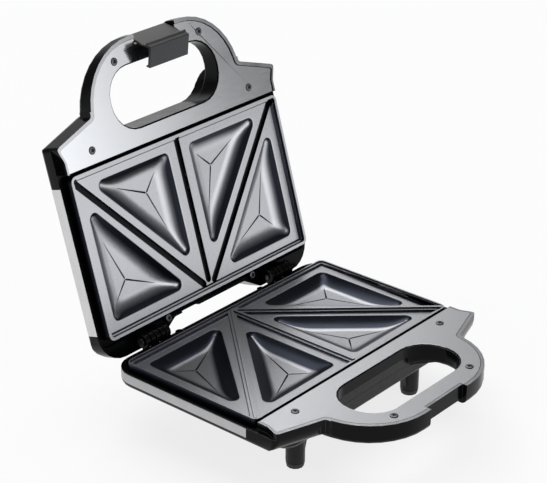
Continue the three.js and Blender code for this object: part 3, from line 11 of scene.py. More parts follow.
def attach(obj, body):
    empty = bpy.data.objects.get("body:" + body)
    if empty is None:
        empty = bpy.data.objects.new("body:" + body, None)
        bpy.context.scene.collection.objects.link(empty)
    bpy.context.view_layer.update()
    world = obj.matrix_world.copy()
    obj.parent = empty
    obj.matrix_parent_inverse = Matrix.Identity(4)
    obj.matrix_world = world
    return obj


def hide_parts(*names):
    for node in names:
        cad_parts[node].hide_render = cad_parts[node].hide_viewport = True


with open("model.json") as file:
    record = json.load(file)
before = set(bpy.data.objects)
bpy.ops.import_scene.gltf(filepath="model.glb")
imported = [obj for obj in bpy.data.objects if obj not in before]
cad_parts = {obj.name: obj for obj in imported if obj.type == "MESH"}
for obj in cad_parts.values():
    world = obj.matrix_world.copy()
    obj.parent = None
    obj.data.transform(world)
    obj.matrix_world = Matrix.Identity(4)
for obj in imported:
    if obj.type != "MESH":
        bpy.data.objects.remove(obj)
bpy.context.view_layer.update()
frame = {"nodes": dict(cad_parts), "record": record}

NODES = frame["nodes"]
SLOT_OF = {part["node"]: part["material_slot"] for part in frame["record"]["subparts"]}
MM = 0.001
UP = Vector((0.0, 0.0, 1.0))

# The plates' own frames: x across, y toward the rear edge, z out of the plate's face.
HINGE_TURN = math.radians(106.44)
BASE_FRAME = Matrix.Translation((0.0, 0.0605518, 0.0572))
LID_FRAME = Matrix.Translation((0.0, 0.0745678, 0.067677)) @ Matrix((
    (-1.0, 0.0, 0.0, 0.0),
    (0.0, math.cos(HINGE_TURN), -math.sin(HINGE_TURN), 0.0),
    (0.0, -math.sin(HINGE_TURN), -math.cos(HINGE_TURN), 0.0),
    (0.0, 0.0, 0.0, 1.0),
))

# Levels of the plates' lands in those frames, in millimetres.
BASE_LAND = -3.1
LID_LAND = -3.9


def mesh_object(name, mesh, material=None):
    piece = bpy.data.objects.new(name, mesh)
    bpy.context.scene.collection.objects.link(piece)
    if material is not None:
        mesh.materials.append(material)
    return piece


def mesh_of(name, shape):
    """Turns a bmesh into a mesh and frees it."""
    mesh = bpy.data.meshes.new(name)
    shape.to_mesh(mesh)
    shape.free()
    return mesh


def smoothstep(share):
    share = max(0.0, min(1.0, share))
    return share * share * (3 - 2 * share)


# Camera, solved from the plates' corners -------------------------------------

IMAGE_WIDTH_PX = 547
SENSOR_WIDTH_MM = 36.0
FOCAL_PX = 1791.159
CAMERA_PLACE = (-0.895556, -0.741099, 0.685412)
CAMERA_RIGHT = (0.6478015, -0.7617896, 0.0054564)
CAMERA_DOWN = (-0.3246235, -0.2825149, -0.9026655)
CAMERA_FORWARD = (0.6891827, 0.5829768, -0.4303084)
CLIP_START = 0.05
CLIP_END = 50.0


def place_camera():
    data = bpy.data.cameras.new("camera")
    data.sensor_fit = "HORIZONTAL"
    data.sensor_width = SENSOR_WIDTH_MM
    data.lens = SENSOR_WIDTH_MM * FOCAL_PX / IMAGE_WIDTH_PX
    data.clip_start = CLIP_START
    data.clip_end = CLIP_END
    camera = bpy.data.objects.new("camera", data)
    bpy.context.scene.collection.objects.link(camera)
    turn = Matrix((CAMERA_RIGHT, -Vector(CAMERA_DOWN), -Vector(CAMERA_FORWARD))).transposed()
    camera.matrix_world = Matrix.Translation(CAMERA_PLACE) @ turn.to_4x4()
    bpy.context.scene.camera = camera


place_camera()


# Node trees ---------------------------------------------------------------------

# The part of a noise's range in which it varies.
NOISE_LOW = 0.3
NOISE_HIGH = 0.7


class NodeTree:
    """Fills a cleared node tree. Its methods take and return sockets."""

    def __init__(self, tree):
        self.tree = tree
        tree.nodes.clear()
        self.coords = self.node("TexCoord")

    def node(self, kind, **constants):
        node = self.tree.nodes.new("ShaderNode" + kind)
        for key, value in constants.items():
            node.inputs[key.replace("_", " ")].default_value = value
        return node

    def feed(self, target, source):
        """Links an input to a socket, or gives it a constant."""
        if isinstance(source, bpy.types.NodeSocket):
            self.tree.links.new(source, target)
        else:
            target.default_value = source

    def maths(self, operation, first, second):
        node = self.node("Math")
        node.operation = operation
        self.feed(node.inputs[0], first)
        self.feed(node.inputs[1], second)
        return node.outputs["Value"]

    def dot(self, coordinate, direction):
        """The dot product of a texture coordinate and a direction."""
        node = self.node("VectorMath")
        node.operation = "DOT_PRODUCT"
        self.feed(node.inputs[0], self.coords.outputs[coordinate])
        self.feed(node.inputs[1], direction)
        return node.outputs["Value"]

    def spread(self, source, low, high, start=NOISE_LOW, end=NOISE_HIGH, steps="LINEAR"):
        """Maps start to end onto low to high."""
        node = self.node("MapRange", From_Min=start, From_Max=end, To_Min=low, To_Max=high)
        node.interpolation_type = steps
        self.feed(node.inputs["Value"], source)
        return node.outputs["Result"]


class Shader(NodeTree):
    """Builds one procedural material round a principled surface."""

    def __init__(self, name):
        self.material = bpy.data.materials.new(name)
        self.material.use_nodes = True
        super().__init__(self.material.node_tree)
        self.output = self.node("OutputMaterial")
        self.surface = self.node("BsdfPrincipled")
        self.feed(self.output.inputs["Surface"], self.surface.outputs["BSDF"])

    def noise(self, scale, detail, roughness=0.55, stretch=(1, 1, 1)):
        mapping = self.node("Mapping", Scale=stretch)
        self.feed(mapping.inputs["Vector"], self.coords.outputs["Object"])
        node = self.node("TexNoise", Scale=scale, Detail=detail, Roughness=roughness)
        self.feed(node.inputs["Vector"], mapping.outputs["Vector"])
        return node.outputs["Fac"]

    def tones(self, noise, first, second):
        """A colour that wanders between two with a noise."""
        node = self.node("ValToRGB")
        ends = node.color_ramp.elements
        for element, place, colour in zip(ends, (NOISE_LOW, NOISE_HIGH), (first, second)):
            element.position = place
            element.color = (*colour, 1.0)
        self.feed(node.inputs["Fac"], noise)
        return node.outputs["Color"]

    def mix(self, share, first, second):
        node = self.node("MixRGB")
        self.feed(node.inputs["Fac"], share)
        self.feed(node.inputs["Color1"], first)
        self.feed(node.inputs["Color2"], second)
        return node.outputs["Color"]

    def along(self, axis, origin, start, end):
        """From 0 at start to 1 at end, in millimetres along an axis of a plate's frame."""
        zero = axis.dot(origin)
        return self.spread(self.dot("Object", axis), 0.0, 1.0, zero + start * MM, zero + end * MM)

    def worn_and_highlit(self, colour, worn_highlit_colour, amount):
        """Lightens sharp edges a little, partly as handling wears them and partly as a painted highlight."""
        pointiness = self.node("NewGeometry").outputs["Pointiness"]
        share = self.spread(pointiness, 0.0, amount, *WORN_HIGHLIT_POINTINESS)
        return self.mix(share, colour, (*worn_highlit_colour, 1.0))

    def finish(self, colour, polish, rough, grain, depth, distance, **constants):
        """Sets the colour, the roughness by one noise and the bumps by another.

        depth is the strength of the bumps and distance their height in millimetres.
        """
        self.feed(self.surface.inputs["Base Color"], colour)
        self.feed(self.surface.inputs["Roughness"], self.spread(polish, *rough))
        bump = self.node("Bump", Strength=depth, Distance=distance * MM)
        self.feed(bump.inputs["Height"], grain)
        self.feed(self.surface.inputs["Normal"], bump.outputs["Normal"])
        for key, value in constants.items():
            self.surface.inputs[key.replace("_", " ")].default_value = value
        return self.material


# Materials ----------------------------------------------------------------------

# Pointiness at which an edge starts to lighten with wear and painted highlight, and at which it is fully so.
WORN_HIGHLIT_POINTINESS = (0.53, 0.62)

# The silver rim round a half's deck: how nearly its face is level, its height from the plate's
# lip and its distance from the plate's rear edge. Each pair says where the silver starts and
# where it is full, in millimetres.
RIM_LEVEL = (0.90, 0.97)
RIM_FROM_BELOW = (-0.6, -0.3)
RIM_FROM_ABOVE = (0.6, 0.3)
RIM_FROM_REAR = (-122.0, -122.6)

# Tints of the plates' coating on level faces, of the painted shade that darkens and blues their walls, and
# the near black of the painted shade in the lid plate's grooves.
LEVEL_TINTS = ((0.95, 0.955, 1.0), (1.05, 1.055, 1.1))
WALL_SHADE_TINTS = ((0.8, 0.92, 1.25), (1.2, 1.35, 1.75))
GROOVE_SHADE_BLACK = ((0.01, 0.01, 0.012), (0.016, 0.016, 0.018))

# Where the clip's hook turns into its grey front, in millimetres from the lid plate's rear edge.
CLIP_FOLD = (-195.5, -193.0)

# Noise scales for brushed grain that runs from side to side, and from front to back.
GRAIN_SIDEWAYS = (1.0, 42.0, 42.0)
GRAIN_LENGTHWISE = (42.0, 1.0, 1.0)

# How much lighter edges are, with wear and painted highlight, than the lightest tone, and how much of that
# shows.
METAL_WEAR_HIGHLIGHT_GAIN = 1.35
METAL_WEAR_HIGHLIGHT = 0.5
MOULDING_WEAR_HIGHLIGHT_GAIN = 1.5
MOULDING_WEAR_HIGHLIGHT_LIFT = 0.01
MOULDING_WEAR_HIGHLIGHT = 0.35


def gloss_black(name, frame_matrix):
    """Glossy moulded plastic with a silver rim round its deck."""
    s = Shader(name)
    broad = s.noise(scale=18.0, detail=3.0)
    turn = frame_matrix.to_3x3()
    place = frame_matrix.translation
    silver_share = s.spread(s.dot("Normal", turn.col[2]), 0.0, 1.0, *RIM_LEVEL)
    for axis, limits in ((2, RIM_FROM_BELOW), (2, RIM_FROM_ABOVE), (1, RIM_FROM_REAR)):
        silver_share = s.maths("MULTIPLY", silver_share, s.along(turn.col[axis], place, *limits))
    s.feed(s.surface.inputs["Metallic"], silver_share)
    black = s.tones(broad, (0.0026, 0.0026, 0.003), (0.0042, 0.0042, 0.0048))
    silver = s.tones(broad, (0.5, 0.5, 0.515), (0.56, 0.56, 0.575))
    return s.finish(
        s.mix(silver_share, black, silver),
        polish=s.noise(scale=55.0, detail=4.0), rough=(0.12, 0.2),
        grain=s.noise(scale=900.0, detail=2.0), depth=0.06, distance=0.2,
        Specular_IOR_Level=0.09,
    )


def pan_black():
    s = Shader("pan_black")
    colour = s.tones(s.noise(scale=22.0, detail=3.0), (0.004, 0.004, 0.0045), (0.008, 0.008, 0.009))
    grain = s.noise(scale=700.0, detail=3.0)
    return s.finish(
        s.worn_and_highlit(colour, worn_highlit_colour=(0.06, 0.06, 0.06), amount=0.3),
        polish=grain, rough=(0.36, 0.5), grain=grain, depth=0.3, distance=0.25,
        Specular_IOR_Level=0.25,
    )


def deck_steel():
    s = Shader("deck_steel")
    hairline = s.noise(scale=90.0, detail=5.0, roughness=0.6, stretch=GRAIN_SIDEWAYS)
    colour = s.tones(s.noise(scale=7.0, detail=2.0), (0.73, 0.735, 0.755), (0.79, 0.795, 0.81))
    return s.finish(
        colour, polish=hairline, rough=(0.1, 0.17), grain=hairline, depth=0.05, distance=0.08,
        Metallic=1.0, Anisotropic=0.3,
    )


def cover_steel(name, dark, light):
    s = Shader(name)
    hairline = s.noise(scale=90.0, detail=5.0, roughness=0.6, stretch=GRAIN_LENGTHWISE)
    return s.finish(
        s.worn_and_highlit(s.tones(hairline, dark, light), worn_highlit_colour=(0.9, 0.9, 0.9), amount=0.5),
        polish=hairline, rough=(0.22, 0.36), grain=hairline, depth=0.12, distance=0.1,
        Metallic=1.0, Anisotropic=0.4,
    )


def plate_coating(name, frame_matrix, bright, dim, walls=(0.80, 0.975), groove=None):
    """Cast plate with a dark coating, lighter on its level faces, with painted shade making its walls darker
    and bluer the steeper they are.

    walls gives how nearly level a face is where it is wholly in painted shade as a wall, and where it has
    none.
    groove gives the levels at which painted shade starts to turn the coating black and where it is black, in
    millimetres.
    """
    s = Shader(name)
    face = frame_matrix.to_3x3().col[2]
    broad = s.noise(scale=11.0, detail=3.0)
    sparkle = s.noise(scale=1500.0, detail=2.0)
    level = s.tones(broad, *(tuple(bright * share for share in tint) for tint in LEVEL_TINTS))
    painted_wall_shade = s.tones(broad, *(tuple(dim * share for share in tint) for tint in WALL_SHADE_TINTS))
    # Painted shade: walls take the darker colour by how far they lean from the plate's face.
    colour = s.mix(s.spread(s.dot("Normal", face), 1.0, 0.0, *walls), level, painted_wall_shade)
    if groove is not None:
        # Painted shade: below the land the coating turns black in the lid plate's grooves.
        share = s.along(face, frame_matrix.translation, *groove)
        colour = s.mix(share, colour, s.tones(broad, *GROOVE_SHADE_BLACK))
    return s.finish(
        colour, polish=sparkle, rough=(0.26, 0.36), grain=sparkle, depth=0.15, distance=0.1,
        Metallic=1.0,
    )


def clip_moulding():
    """Warm grey matt front, blue-black hook."""
    s = Shader("clip_black")
    broad = s.noise(scale=30.0, detail=3.0)
    grain = s.noise(scale=500.0, detail=3.0)
    front = s.tones(broad, (0.047, 0.044, 0.043), (0.058, 0.055, 0.053))
    hook = s.tones(broad, (0.019, 0.021, 0.024), (0.025, 0.027, 0.031))
    share = s.along(LID_FRAME.to_3x3().col[1], LID_FRAME.translation, *CLIP_FOLD)
    return s.finish(
        s.worn_and_highlit(s.mix(share, front, hook), worn_highlit_colour=(0.11, 0.11, 0.115), amount=0.45),
        polish=grain, rough=(0.3, 0.42), grain=grain, depth=0.12, distance=0.2,
        Specular_IOR_Level=0.35,
    )


def plain_metal(name, dark, light, rough, depth=0.1, scale=160.0):
    s = Shader(name)
    grain = s.noise(scale, detail=4.0)
    worn_highlit_colour = tuple(min(1.0, c * METAL_WEAR_HIGHLIGHT_GAIN) for c in light)
    return s.finish(
        s.worn_and_highlit(s.tones(grain, dark, light), worn_highlit_colour, METAL_WEAR_HIGHLIGHT),
        polish=grain, rough=rough, grain=grain, depth=depth, distance=0.1, Metallic=1.0,
    )


def moulding(name, dark, light, rough, depth=0.2, scale=600.0):
    s = Shader(name)
    broad = s.noise(scale=30.0, detail=3.0)
    grain = s.noise(scale, detail=3.0)
    worn_highlit_colour = tuple(min(1.0, c * MOULDING_WEAR_HIGHLIGHT_GAIN + MOULDING_WEAR_HIGHLIGHT_LIFT) for c in light)
    return s.finish(
        s.worn_and_highlit(s.tones(broad, dark, light), worn_highlit_colour, MOULDING_WEAR_HIGHLIGHT),
        polish=grain, rough=rough, grain=grain, depth=depth, distance=0.2,
    )


# Name, darkest colour, lightest colour, roughness, and for some the bumps' strength and scale.
PLAIN_METALS = (
    ("element_sheath", (0.16, 0.15, 0.14), (0.24, 0.23, 0.21), (0.45, 0.6)),
    ("reflector_steel", (0.42, 0.43, 0.44), (0.58, 0.59, 0.6), (0.35, 0.5), 0.2, 60.0),
    ("screw_steel", (0.1, 0.1, 0.103), (0.16, 0.16, 0.163), (0.25, 0.35)),
    # Painted shade in the screws' cross recesses and round their heads' rims.
    ("screw_recess", (0.012, 0.012, 0.013), (0.03, 0.03, 0.032), (0.5, 0.7)),
    ("pin_steel", (0.05, 0.05, 0.052), (0.09, 0.09, 0.092), (0.3, 0.42)),
    # Painted shade: the decks' rounded edges are near black, in place of the shade in the gap round each
    # deck.
    ("deck_painted_shade_edge", (0.012, 0.012, 0.013), (0.02, 0.02, 0.022), (0.3, 0.4)),
    # Painted highlight: the lid plate's rounded lips and ridges are lighter than its coating.
    ("coating_painted_highlight_edge", (0.5, 0.51, 0.54), (0.62, 0.63, 0.66), (0.22, 0.32)),
)
MOULDINGS = (
    ("ceramic", (0.62, 0.57, 0.48), (0.74, 0.69, 0.6), (0.55, 0.7)),
    ("rubber", (0.012, 0.012, 0.012), (0.02, 0.02, 0.02), (0.55, 0.7)),
    ("lamp_red", (0.42, 0.02, 0.012), (0.5, 0.03, 0.02), (0.1, 0.2), 0.03, 120.0),
    ("lamp_green", (0.012, 0.27, 0.05), (0.02, 0.34, 0.07), (0.1, 0.2), 0.03, 120.0),
    # Painted highlight: the housings' rounded edges are lighter than their black faces, in place of gloss
    # highlights.
    ("gloss_painted_highlight_edge", (0.035, 0.035, 0.037), (0.055, 0.055, 0.058), (0.12, 0.2), 0.04, 700.0),
)

# bright is the coating's colour on level faces, dim that of the painted shade on its walls.
LID_COATING = {"bright": 0.56, "dim": 0.04}

MATERIALS = {
    "base_gloss_black": gloss_black("base_gloss_black", BASE_FRAME),
    "lid_gloss_black": gloss_black("lid_gloss_black", LID_FRAME),
    "pan_black": pan_black(),
    "deck_steel": deck_steel(),
    "cover_steel": cover_steel("band_steel", (0.24, 0.24, 0.25), (0.33, 0.33, 0.34)),
    "lid_cover_steel": cover_steel("lid_cover_steel", (0.5, 0.5, 0.51), (0.6, 0.6, 0.61)),
    "base_plate_coating": plate_coating("base_plate_coating", BASE_FRAME, bright=0.42, dim=0.05),
    # The base bowls' walls take painted shade on gentler slopes too, so that they stay dark.
    "base_bowl_coating": plate_coating(
        "base_bowl_coating", BASE_FRAME, bright=0.38, dim=0.03, walls=(0.945, 0.997),
    ),
    # The lid plate's grooves are painted black as shade.
    "lid_plate_coating": plate_coating(
        "lid_plate_coating", LID_FRAME, groove=(LID_LAND - 0.25, LID_LAND - 0.8), **LID_COATING,
    ),
    "lid_bowl_coating": plate_coating("lid_bowl_coating", LID_FRAME, **LID_COATING),
    "clip_black": clip_moulding(),
}
MATERIALS.update((row[0], plain_metal(*row)) for row in PLAIN_METALS)
MATERIALS.update((row[0], moulding(*row)) for row in MOULDINGS)


# Shared finishing of the CAD nodes ----------------------------------------------

WELD_DISTANCE_MM = 0.01
COPLANAR_ANGLE = math.radians(0.6)
BEVEL_ANGLE = math.radians(32.0)
BEVEL_SEGMENTS = 2
NORMAL_WEIGHT = 90

# Widths of the rounded edges in millimetres.
PLAIN_EDGE = 0.12
EDGE_WIDTHS = {
    "base_housing": 0.4,
    "lid_housing": 0.4,
    "bottom_pan": 0.4,
    "base_deck": 0.6,
    "lid_deck": 0.6,
    "base_cooking_plate": 0.3,
    "lid_cooking_plate": 0.3,
    "latch_clip": 0.3,
    "lid_cover": 0.1,
}

# Nodes with a material of their own instead of their slot's.
OWN_MATERIALS = {
    "base_housing": "base_gloss_black",
    "lid_housing": "lid_gloss_black",
    "lid_cover": "lid_cover_steel",
    "base_cooking_plate": "base_plate_coating",
    "lid_cooking_plate": "lid_plate_coating",
}

# Materials of rounded edges, painted lighter than the faces beside them as a highlight, or darker as shade.
PAINTED_EDGE_MATERIALS = {
    "base_housing": "gloss_painted_highlight_edge",
    "lid_housing": "gloss_painted_highlight_edge",
    "base_deck": "deck_painted_shade_edge",
    "lid_deck": "deck_painted_shade_edge",
    "lid_cooking_plate": "coating_painted_highlight_edge",
}

# Nodes whose large level faces are shaded flat, so that they reflect evenly.
FLAT_NODES = ("base_deck", "lid_deck")


def soften(obj, width, edge, flat):
    """Rounds the sharp edges of a node with modifiers, and smooths its shading unless it is flat."""
    weld = obj.modifiers.new("weld", "WELD")
    weld.merge_threshold = WELD_DISTANCE_MM * MM
    dissolve = obj.modifiers.new("flat", "DECIMATE")
    dissolve.decimate_type = "DISSOLVE"
    dissolve.angle_limit = COPLANAR_ANGLE
    bevel = obj.modifiers.new("edge", "BEVEL")
    bevel.width = width * MM
    bevel.segments = BEVEL_SEGMENTS
    bevel.limit_method = "ANGLE"
    bevel.angle_limit = BEVEL_ANGLE
    bevel.harden_normals = False
    bevel.use_clamp_overlap = True
    # The bevels take a material of their own where one is given: a painted highlight or painted shade line
    # along the edges.
    if edge is not None:
        obj.data.materials.append(edge)
        bevel.material = 1
    for polygon in obj.data.polygons:
        polygon.use_smooth = not flat
    if not flat:
        normals = obj.modifiers.new("normals", "WEIGHTED_NORMAL")
        normals.keep_sharp = True
        normals.weight = NORMAL_WEIGHT


for name, node in NODES.items():
    node.data.materials.clear()
    node.data.materials.append(MATERIALS[OWN_MATERIALS.get(name, SLOT_OF[name])])
    painted_edge_material = MATERIALS.get(PAINTED_EDGE_MATERIALS.get(name))
    soften(node, EDGE_WIDTHS.get(name, PLAIN_EDGE), painted_edge_material, name in FLAT_NODES)


# Floor --------------------------------------------------------------------------

FLOOR_HALF_SIZE = 6.0
FLOOR_CELLS = 8
FLOOR_TONES = ((0.93, 0.93, 0.93), (0.95, 0.95, 0.95))
FLOOR_ROUGHNESS = 0.9
FLOOR_SPECULAR = 0.1
WHITE = (1.0, 1.0, 1.0, 1.0)
WHITE_SHARE = 0.8


def floor():
    """A pale floor that takes the object's shadow and looks nearly white, also in reflections."""
    s = Shader("floor")
    s.feed(s.surface.inputs["Base Color"], s.tones(s.noise(scale=0.8, detail=2.0), *FLOOR_TONES))
    s.feed(s.surface.inputs["Roughness"], FLOOR_ROUGHNESS)
    s.feed(s.surface.inputs["Specular IOR Level"], FLOOR_SPECULAR)
    rays = s.node("LightPath").outputs
    camera_or_glossy = s.maths("MAXIMUM", rays["Is Camera Ray"], rays["Is Glossy Ray"])
    seen = s.maths("MAXIMUM", camera_or_glossy, rays["Is Transmission Ray"])
    white = s.node("Emission", Color=WHITE, Strength=1.0)
    both = s.node("MixShader")
    s.feed(both.inputs[0], s.maths("MULTIPLY", seen, WHITE_SHARE))
    s.feed(both.inputs[1], s.surface.outputs["BSDF"])
    s.feed(both.inputs[2], white.outputs["Emission"])
    s.feed(s.output.inputs["Surface"], both.outputs["Shader"])
    grid = bmesh.new()
    bmesh.ops.create_grid(grid, x_segments=FLOOR_CELLS, y_segments=FLOOR_CELLS, size=FLOOR_HALF_SIZE)
    mesh_object("floor", mesh_of("floor", grid), s.material)


floor()


# Pocket bowls -------------------------------------------------------------------

# In millimetres, in a plate's frame. The pockets' corners are shares of the plate's half width
# and of its depth from the rear edge.
PLATE_HALF_WIDTH = 110.5
PLATE_DEPTH = 123.0
POCKET_SHARES = (
    ((0.90226, 0.82927), (0.90226, 0.0813), (0.18643, 0.0813)),
    ((0.09412, 0.92033), (0.82353, 0.92033), (0.09412, 0.1935)),
)
POCKET_CORNER = 5.5
BOWL_LIFT = 0.03

# The bowl's profile: a rounded mouth, a broad sweep, and a floor that still slopes a little.
BOWL_DEPTH = 6.7
BOWL_RUN = 13.5
BOWL_FLOOR_REACH = 6.0
MOUTH_RUN = 1.3
SWEEP_POWER = 0.95
FLOOR_SLOPE = 0.01
PROFILE_STEPS_PER_MM = 10
PROFILE_STEPS = 400

# Valleys where a bowl's walls meet: how soft they are, and how far from the rim they begin.
VALLEY_SOFTNESS = 2.4
VALLEY_START = 5.0
NORMAL_STEP = 0.15

# Points of a bowl's mesh: lines at these distances from the rim, then a triangular grid.
RIM_CONTOURS = (
    -0.6, -0.3, 0.0, 0.25, 0.5, 0.8, 1.15, 1.6, 2.1, 2.7, 3.4, 4.2, 5.1, 6.1, 7.2, 8.4, 9.7, 11.1, 12.6, 14.2,
)
CONTOUR_STEP = 1.6
CONTOUR_CORNER_STEPS = 10
SHARP_CORNER = 0.3
GRID_STEP = 1.35
GRID_ROW_SHARE = 0.866
GRID_CLEARANCE = 0.7
TUCK_START = -0.5
TUCK_DEPTH = 0.05
MERGE_DISTANCE = 0.001

# Creases, which narrow from the pocket's middle toward its corners.
CREASE_SHARE = 0.5
CREASE_WIDTH = 0.75
CREASE_DEPTH = 0.5
CREASE_STEP = 1.1
CREASE_CLEARANCE = 0.5
CREASE_LEAST_WIDTH = 0.1
CREASE_WALL_SHARE = 0.75
ON_CREASE = 0.05


def bowl_profile():
    """Depth of the bowl by distance from its rim, at even steps."""
    def slope(distance):
        sweep = max(0.0, 1.0 - distance / BOWL_RUN)
        return smoothstep(distance / MOUTH_RUN) * sweep ** SWEEP_POWER + FLOOR_SLOPE
    depths = [0.0]
    for k in range(PROFILE_STEPS):
        depths.append(depths[-1] + slope((k + 0.5) / PROFILE_STEPS_PER_MM))
    scale = BOWL_DEPTH / depths[round((BOWL_RUN + BOWL_FLOOR_REACH) * PROFILE_STEPS_PER_MM)]
    return [depth * scale for depth in depths]


PROFILE = bowl_profile()


def profile_depth(distance):
    if distance <= 0.0:
        return 0.0
    place = min(distance * PROFILE_STEPS_PER_MM, len(PROFILE) - 2)
    k = int(place)
    return PROFILE[k] + (PROFILE[k + 1] - PROFILE[k]) * (place - k)


class Pocket:
    """A triangular pocket with rounded corners, in a plate's frame."""

    def __init__(self, shares, side):
        self.corners = [
            Vector((side * across * PLATE_HALF_WIDTH, -front * PLATE_DEPTH)) for across, front in shares
        ]
        sides = [(self.corners[(i + 1) % 3] - self.corners[(i + 2) % 3]).length for i in range(3)]
        weighted = (corner * length for corner, length in zip(self.corners, sides))
        self.middle = sum(weighted, Vector((0, 0))) / sum(sides)
        a, b, c = self.corners
        if (b - a).cross(c - a) < 0:
            self.corners.reverse()
        self.inradius = abs((b - a).cross(c - a)) / sum(sides)
        self.inner = self.shrunk(POCKET_CORNER)

    def shrunk(self, distance):
        """The triangle whose sides lie at a distance inside the pocket's own."""
        share = 1 - distance / self.inradius
        return [self.middle + (corner - self.middle) * share for corner in self.corners]

    def inset(self, p):
        """Distance from the rim, positive inside the pocket."""
        near = math.inf
        inside = True
        for i in range(3):
            a, b = self.inner[i], self.inner[(i + 1) % 3]
            along = b - a
            if along.cross(p - a) < 0:
                inside = False
            share = max(0.0, min(1.0, (p - a).dot(along) / along.length_squared))
            near = min(near, (p - a - along * share).length)
        return POCKET_CORNER + near if inside else POCKET_CORNER - near

    def contour(self, distance):
        """The line at a distance from the rim, counterclockwise."""
        radius = max(POCKET_CORNER - distance, 0.0)
        inner = self.shrunk(POCKET_CORNER if radius else distance)
        points = []
        for i in range(3):
            before, here, after = inner[i - 1], inner[i], inner[(i + 1) % 3]
            into = math.atan2((here - before).y, (here - before).x) - math.pi / 2
            out = math.atan2((after - here).y, (after - here).x) - math.pi / 2
            sweep = (out - into) % (2 * math.pi)
            for k in range(CONTOUR_CORNER_STEPS + 1 if radius > SHARP_CORNER else 1):
                angle = into + sweep * k / CONTOUR_CORNER_STEPS
                points.append(here + Vector((math.cos(angle), math.sin(angle))) * radius)
            start = points[-1]
            end = after + Vector((math.cos(out), math.sin(out))) * radius
            steps = max(1, int((end - start).length / CONTOUR_STEP))
            for k in range(1, steps):
                points.append(start.lerp(end, k / steps))
        return points

    def crease(self, p):
        """The share along the nearest crease and the distance from it, or None."""
        best = None
        for corner in self.corners:
            arm = (corner - self.middle) * CREASE_SHARE
            along = (p - self.middle).dot(arm.normalized())
            if not -ON_CREASE <= along <= arm.length:
                continue
            aside = abs((p - self.middle).cross(arm.normalized()))
            if best is None or aside < best[1]:
                best = (along / arm.length, aside)
        return best

    def clear_of_creases(self, p, clearance):
        near = self.crease(p)
        return near is None or near[1] > CREASE_WIDTH + clearance

    def crease_points(self):
        """Points down the middle and along both sides of each crease."""
        found = []
        for corner in self.corners:
            arm = (corner - self.middle) * CREASE_SHARE
            across = Vector((-arm.y, arm.x)).normalized()
            steps = int(arm.length / CREASE_STEP)
            for k in range(0 if corner == self.corners[0] else 1, steps + 1):
                place = self.middle + arm * (k / steps)
                width = CREASE_WIDTH * (1 - k / steps) ** 0.5
                found.append(place)
                if width > CREASE_LEAST_WIDTH and k > 0:
                    found += [place + across * width, place - across * width]
        return found

    def grid_points(self):
        """A triangular grid inside the last contour, clear of the creases."""
        found = []
        xs = [corner.x for corner in self.corners]
        ys = [corner.y for corner in self.corners]
        row = 0
        y = min(ys)
        while y < max(ys):
            x = min(xs) + (GRID_STEP / 2 if row % 2 else 0.0)
            while x < max(xs):
                p = Vector((x, y))
                within = self.inset(p) > RIM_CONTOURS[-1] + GRID_CLEARANCE
                if within and self.clear_of_creases(p, GRID_CLEARANCE):
                    found.append(p)
                x += GRID_STEP
            y += GRID_STEP * GRID_ROW_SHARE
            row += 1
        return found

    def points(self):
        outlines = [p for distance in RIM_CONTOURS for p in self.contour(distance)]
        found = [p for p in outlines if self.clear_of_creases(p, CREASE_CLEARANCE)]
        return found + self.crease_points() + self.grid_points()

    def depth(self, p):
        """Depth of the bowl, with soft valleys where its walls meet."""
        distance = self.inset(p)
        crowd = 0.0
        for i in range(3):
            a, b = self.corners[i], self.corners[(i + 1) % 3]
            away = (b - a).normalized().cross(p - a)
            crowd += math.exp(-away / VALLEY_SOFTNESS)
        soft = -VALLEY_SOFTNESS * math.log(crowd)
        return profile_depth(distance + (soft - distance) * smoothstep(distance / VALLEY_START))

    def normal(self, p):
        across = Vector((NORMAL_STEP, 0))
        upward = Vector((0, NORMAL_STEP))
        dx = (self.depth(p + across) - self.depth(p - across)) / (2 * NORMAL_STEP)
        dy = (self.depth(p + upward) - self.depth(p - upward)) / (2 * NORMAL_STEP)
        return Vector((dx, dy, 1.0)).normalized()

    def surface(self, land):
        """The bowl's vertices, their normals, its faces, and which of those are crease walls."""
        found = delaunay_2d_cdt(self.points(), [], [], 0, MERGE_DISTANCE)
        flat, faces = found[0], found[2]
        places = []
        for p in flat:
            z = land + BOWL_LIFT - self.depth(p)
            if self.inset(p) < TUCK_START:
                z = land - TUCK_DEPTH
            near = self.crease(p)
            if near is not None and near[1] < ON_CREASE:
                z -= CREASE_DEPTH * (1 - near[0]) ** 0.5
            places.append((p.x, p.y, z))
        creased = []
        for face in faces:
            near = self.crease(sum((flat[i] for i in face), Vector((0, 0))) / 3)
            creased.append(
                near is not None
                and near[1] < CREASE_WIDTH * CREASE_WALL_SHARE * (1 - near[0]) ** 0.5
            )
        return places, [self.normal(p) for p in flat], faces, creased


def pocket_bowls(name, frame_matrix, land, body, material):
    """The swept bowls of one plate's four pockets, laid in the CAD's pockets."""
    turn = frame_matrix.to_3x3()
    vertices = []
    polygons = []
    corner_normals = []
    for shares in POCKET_SHARES:
        for side in (-1, 1):
            places, normals, faces, creased = Pocket(shares, side).surface(land)
            first = len(vertices)
            vertices += [frame_matrix @ (Vector(place) * MM) for place in places]
            normals = [turn @ normal for normal in normals]
            for face, sharp in zip(faces, creased):
                a, b, c = (vertices[first + i] for i in face)
                own = (b - a).cross(c - a).normalized()
                outward = own.dot(turn.col[2]) > 0
                order = list(face) if outward else list(reversed(face))
                own = own if outward else -own
                polygons.append([first + i for i in order])
                corner_normals += [own if sharp else normals[i] for i in order]
    mesh = bpy.data.meshes.new(name)
    mesh.from_pydata(vertices, [], polygons)
    mesh.shade_smooth()
    mesh.normals_split_custom_set(corner_normals)
    piece = mesh_object(name, mesh, material)
    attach(piece, body)


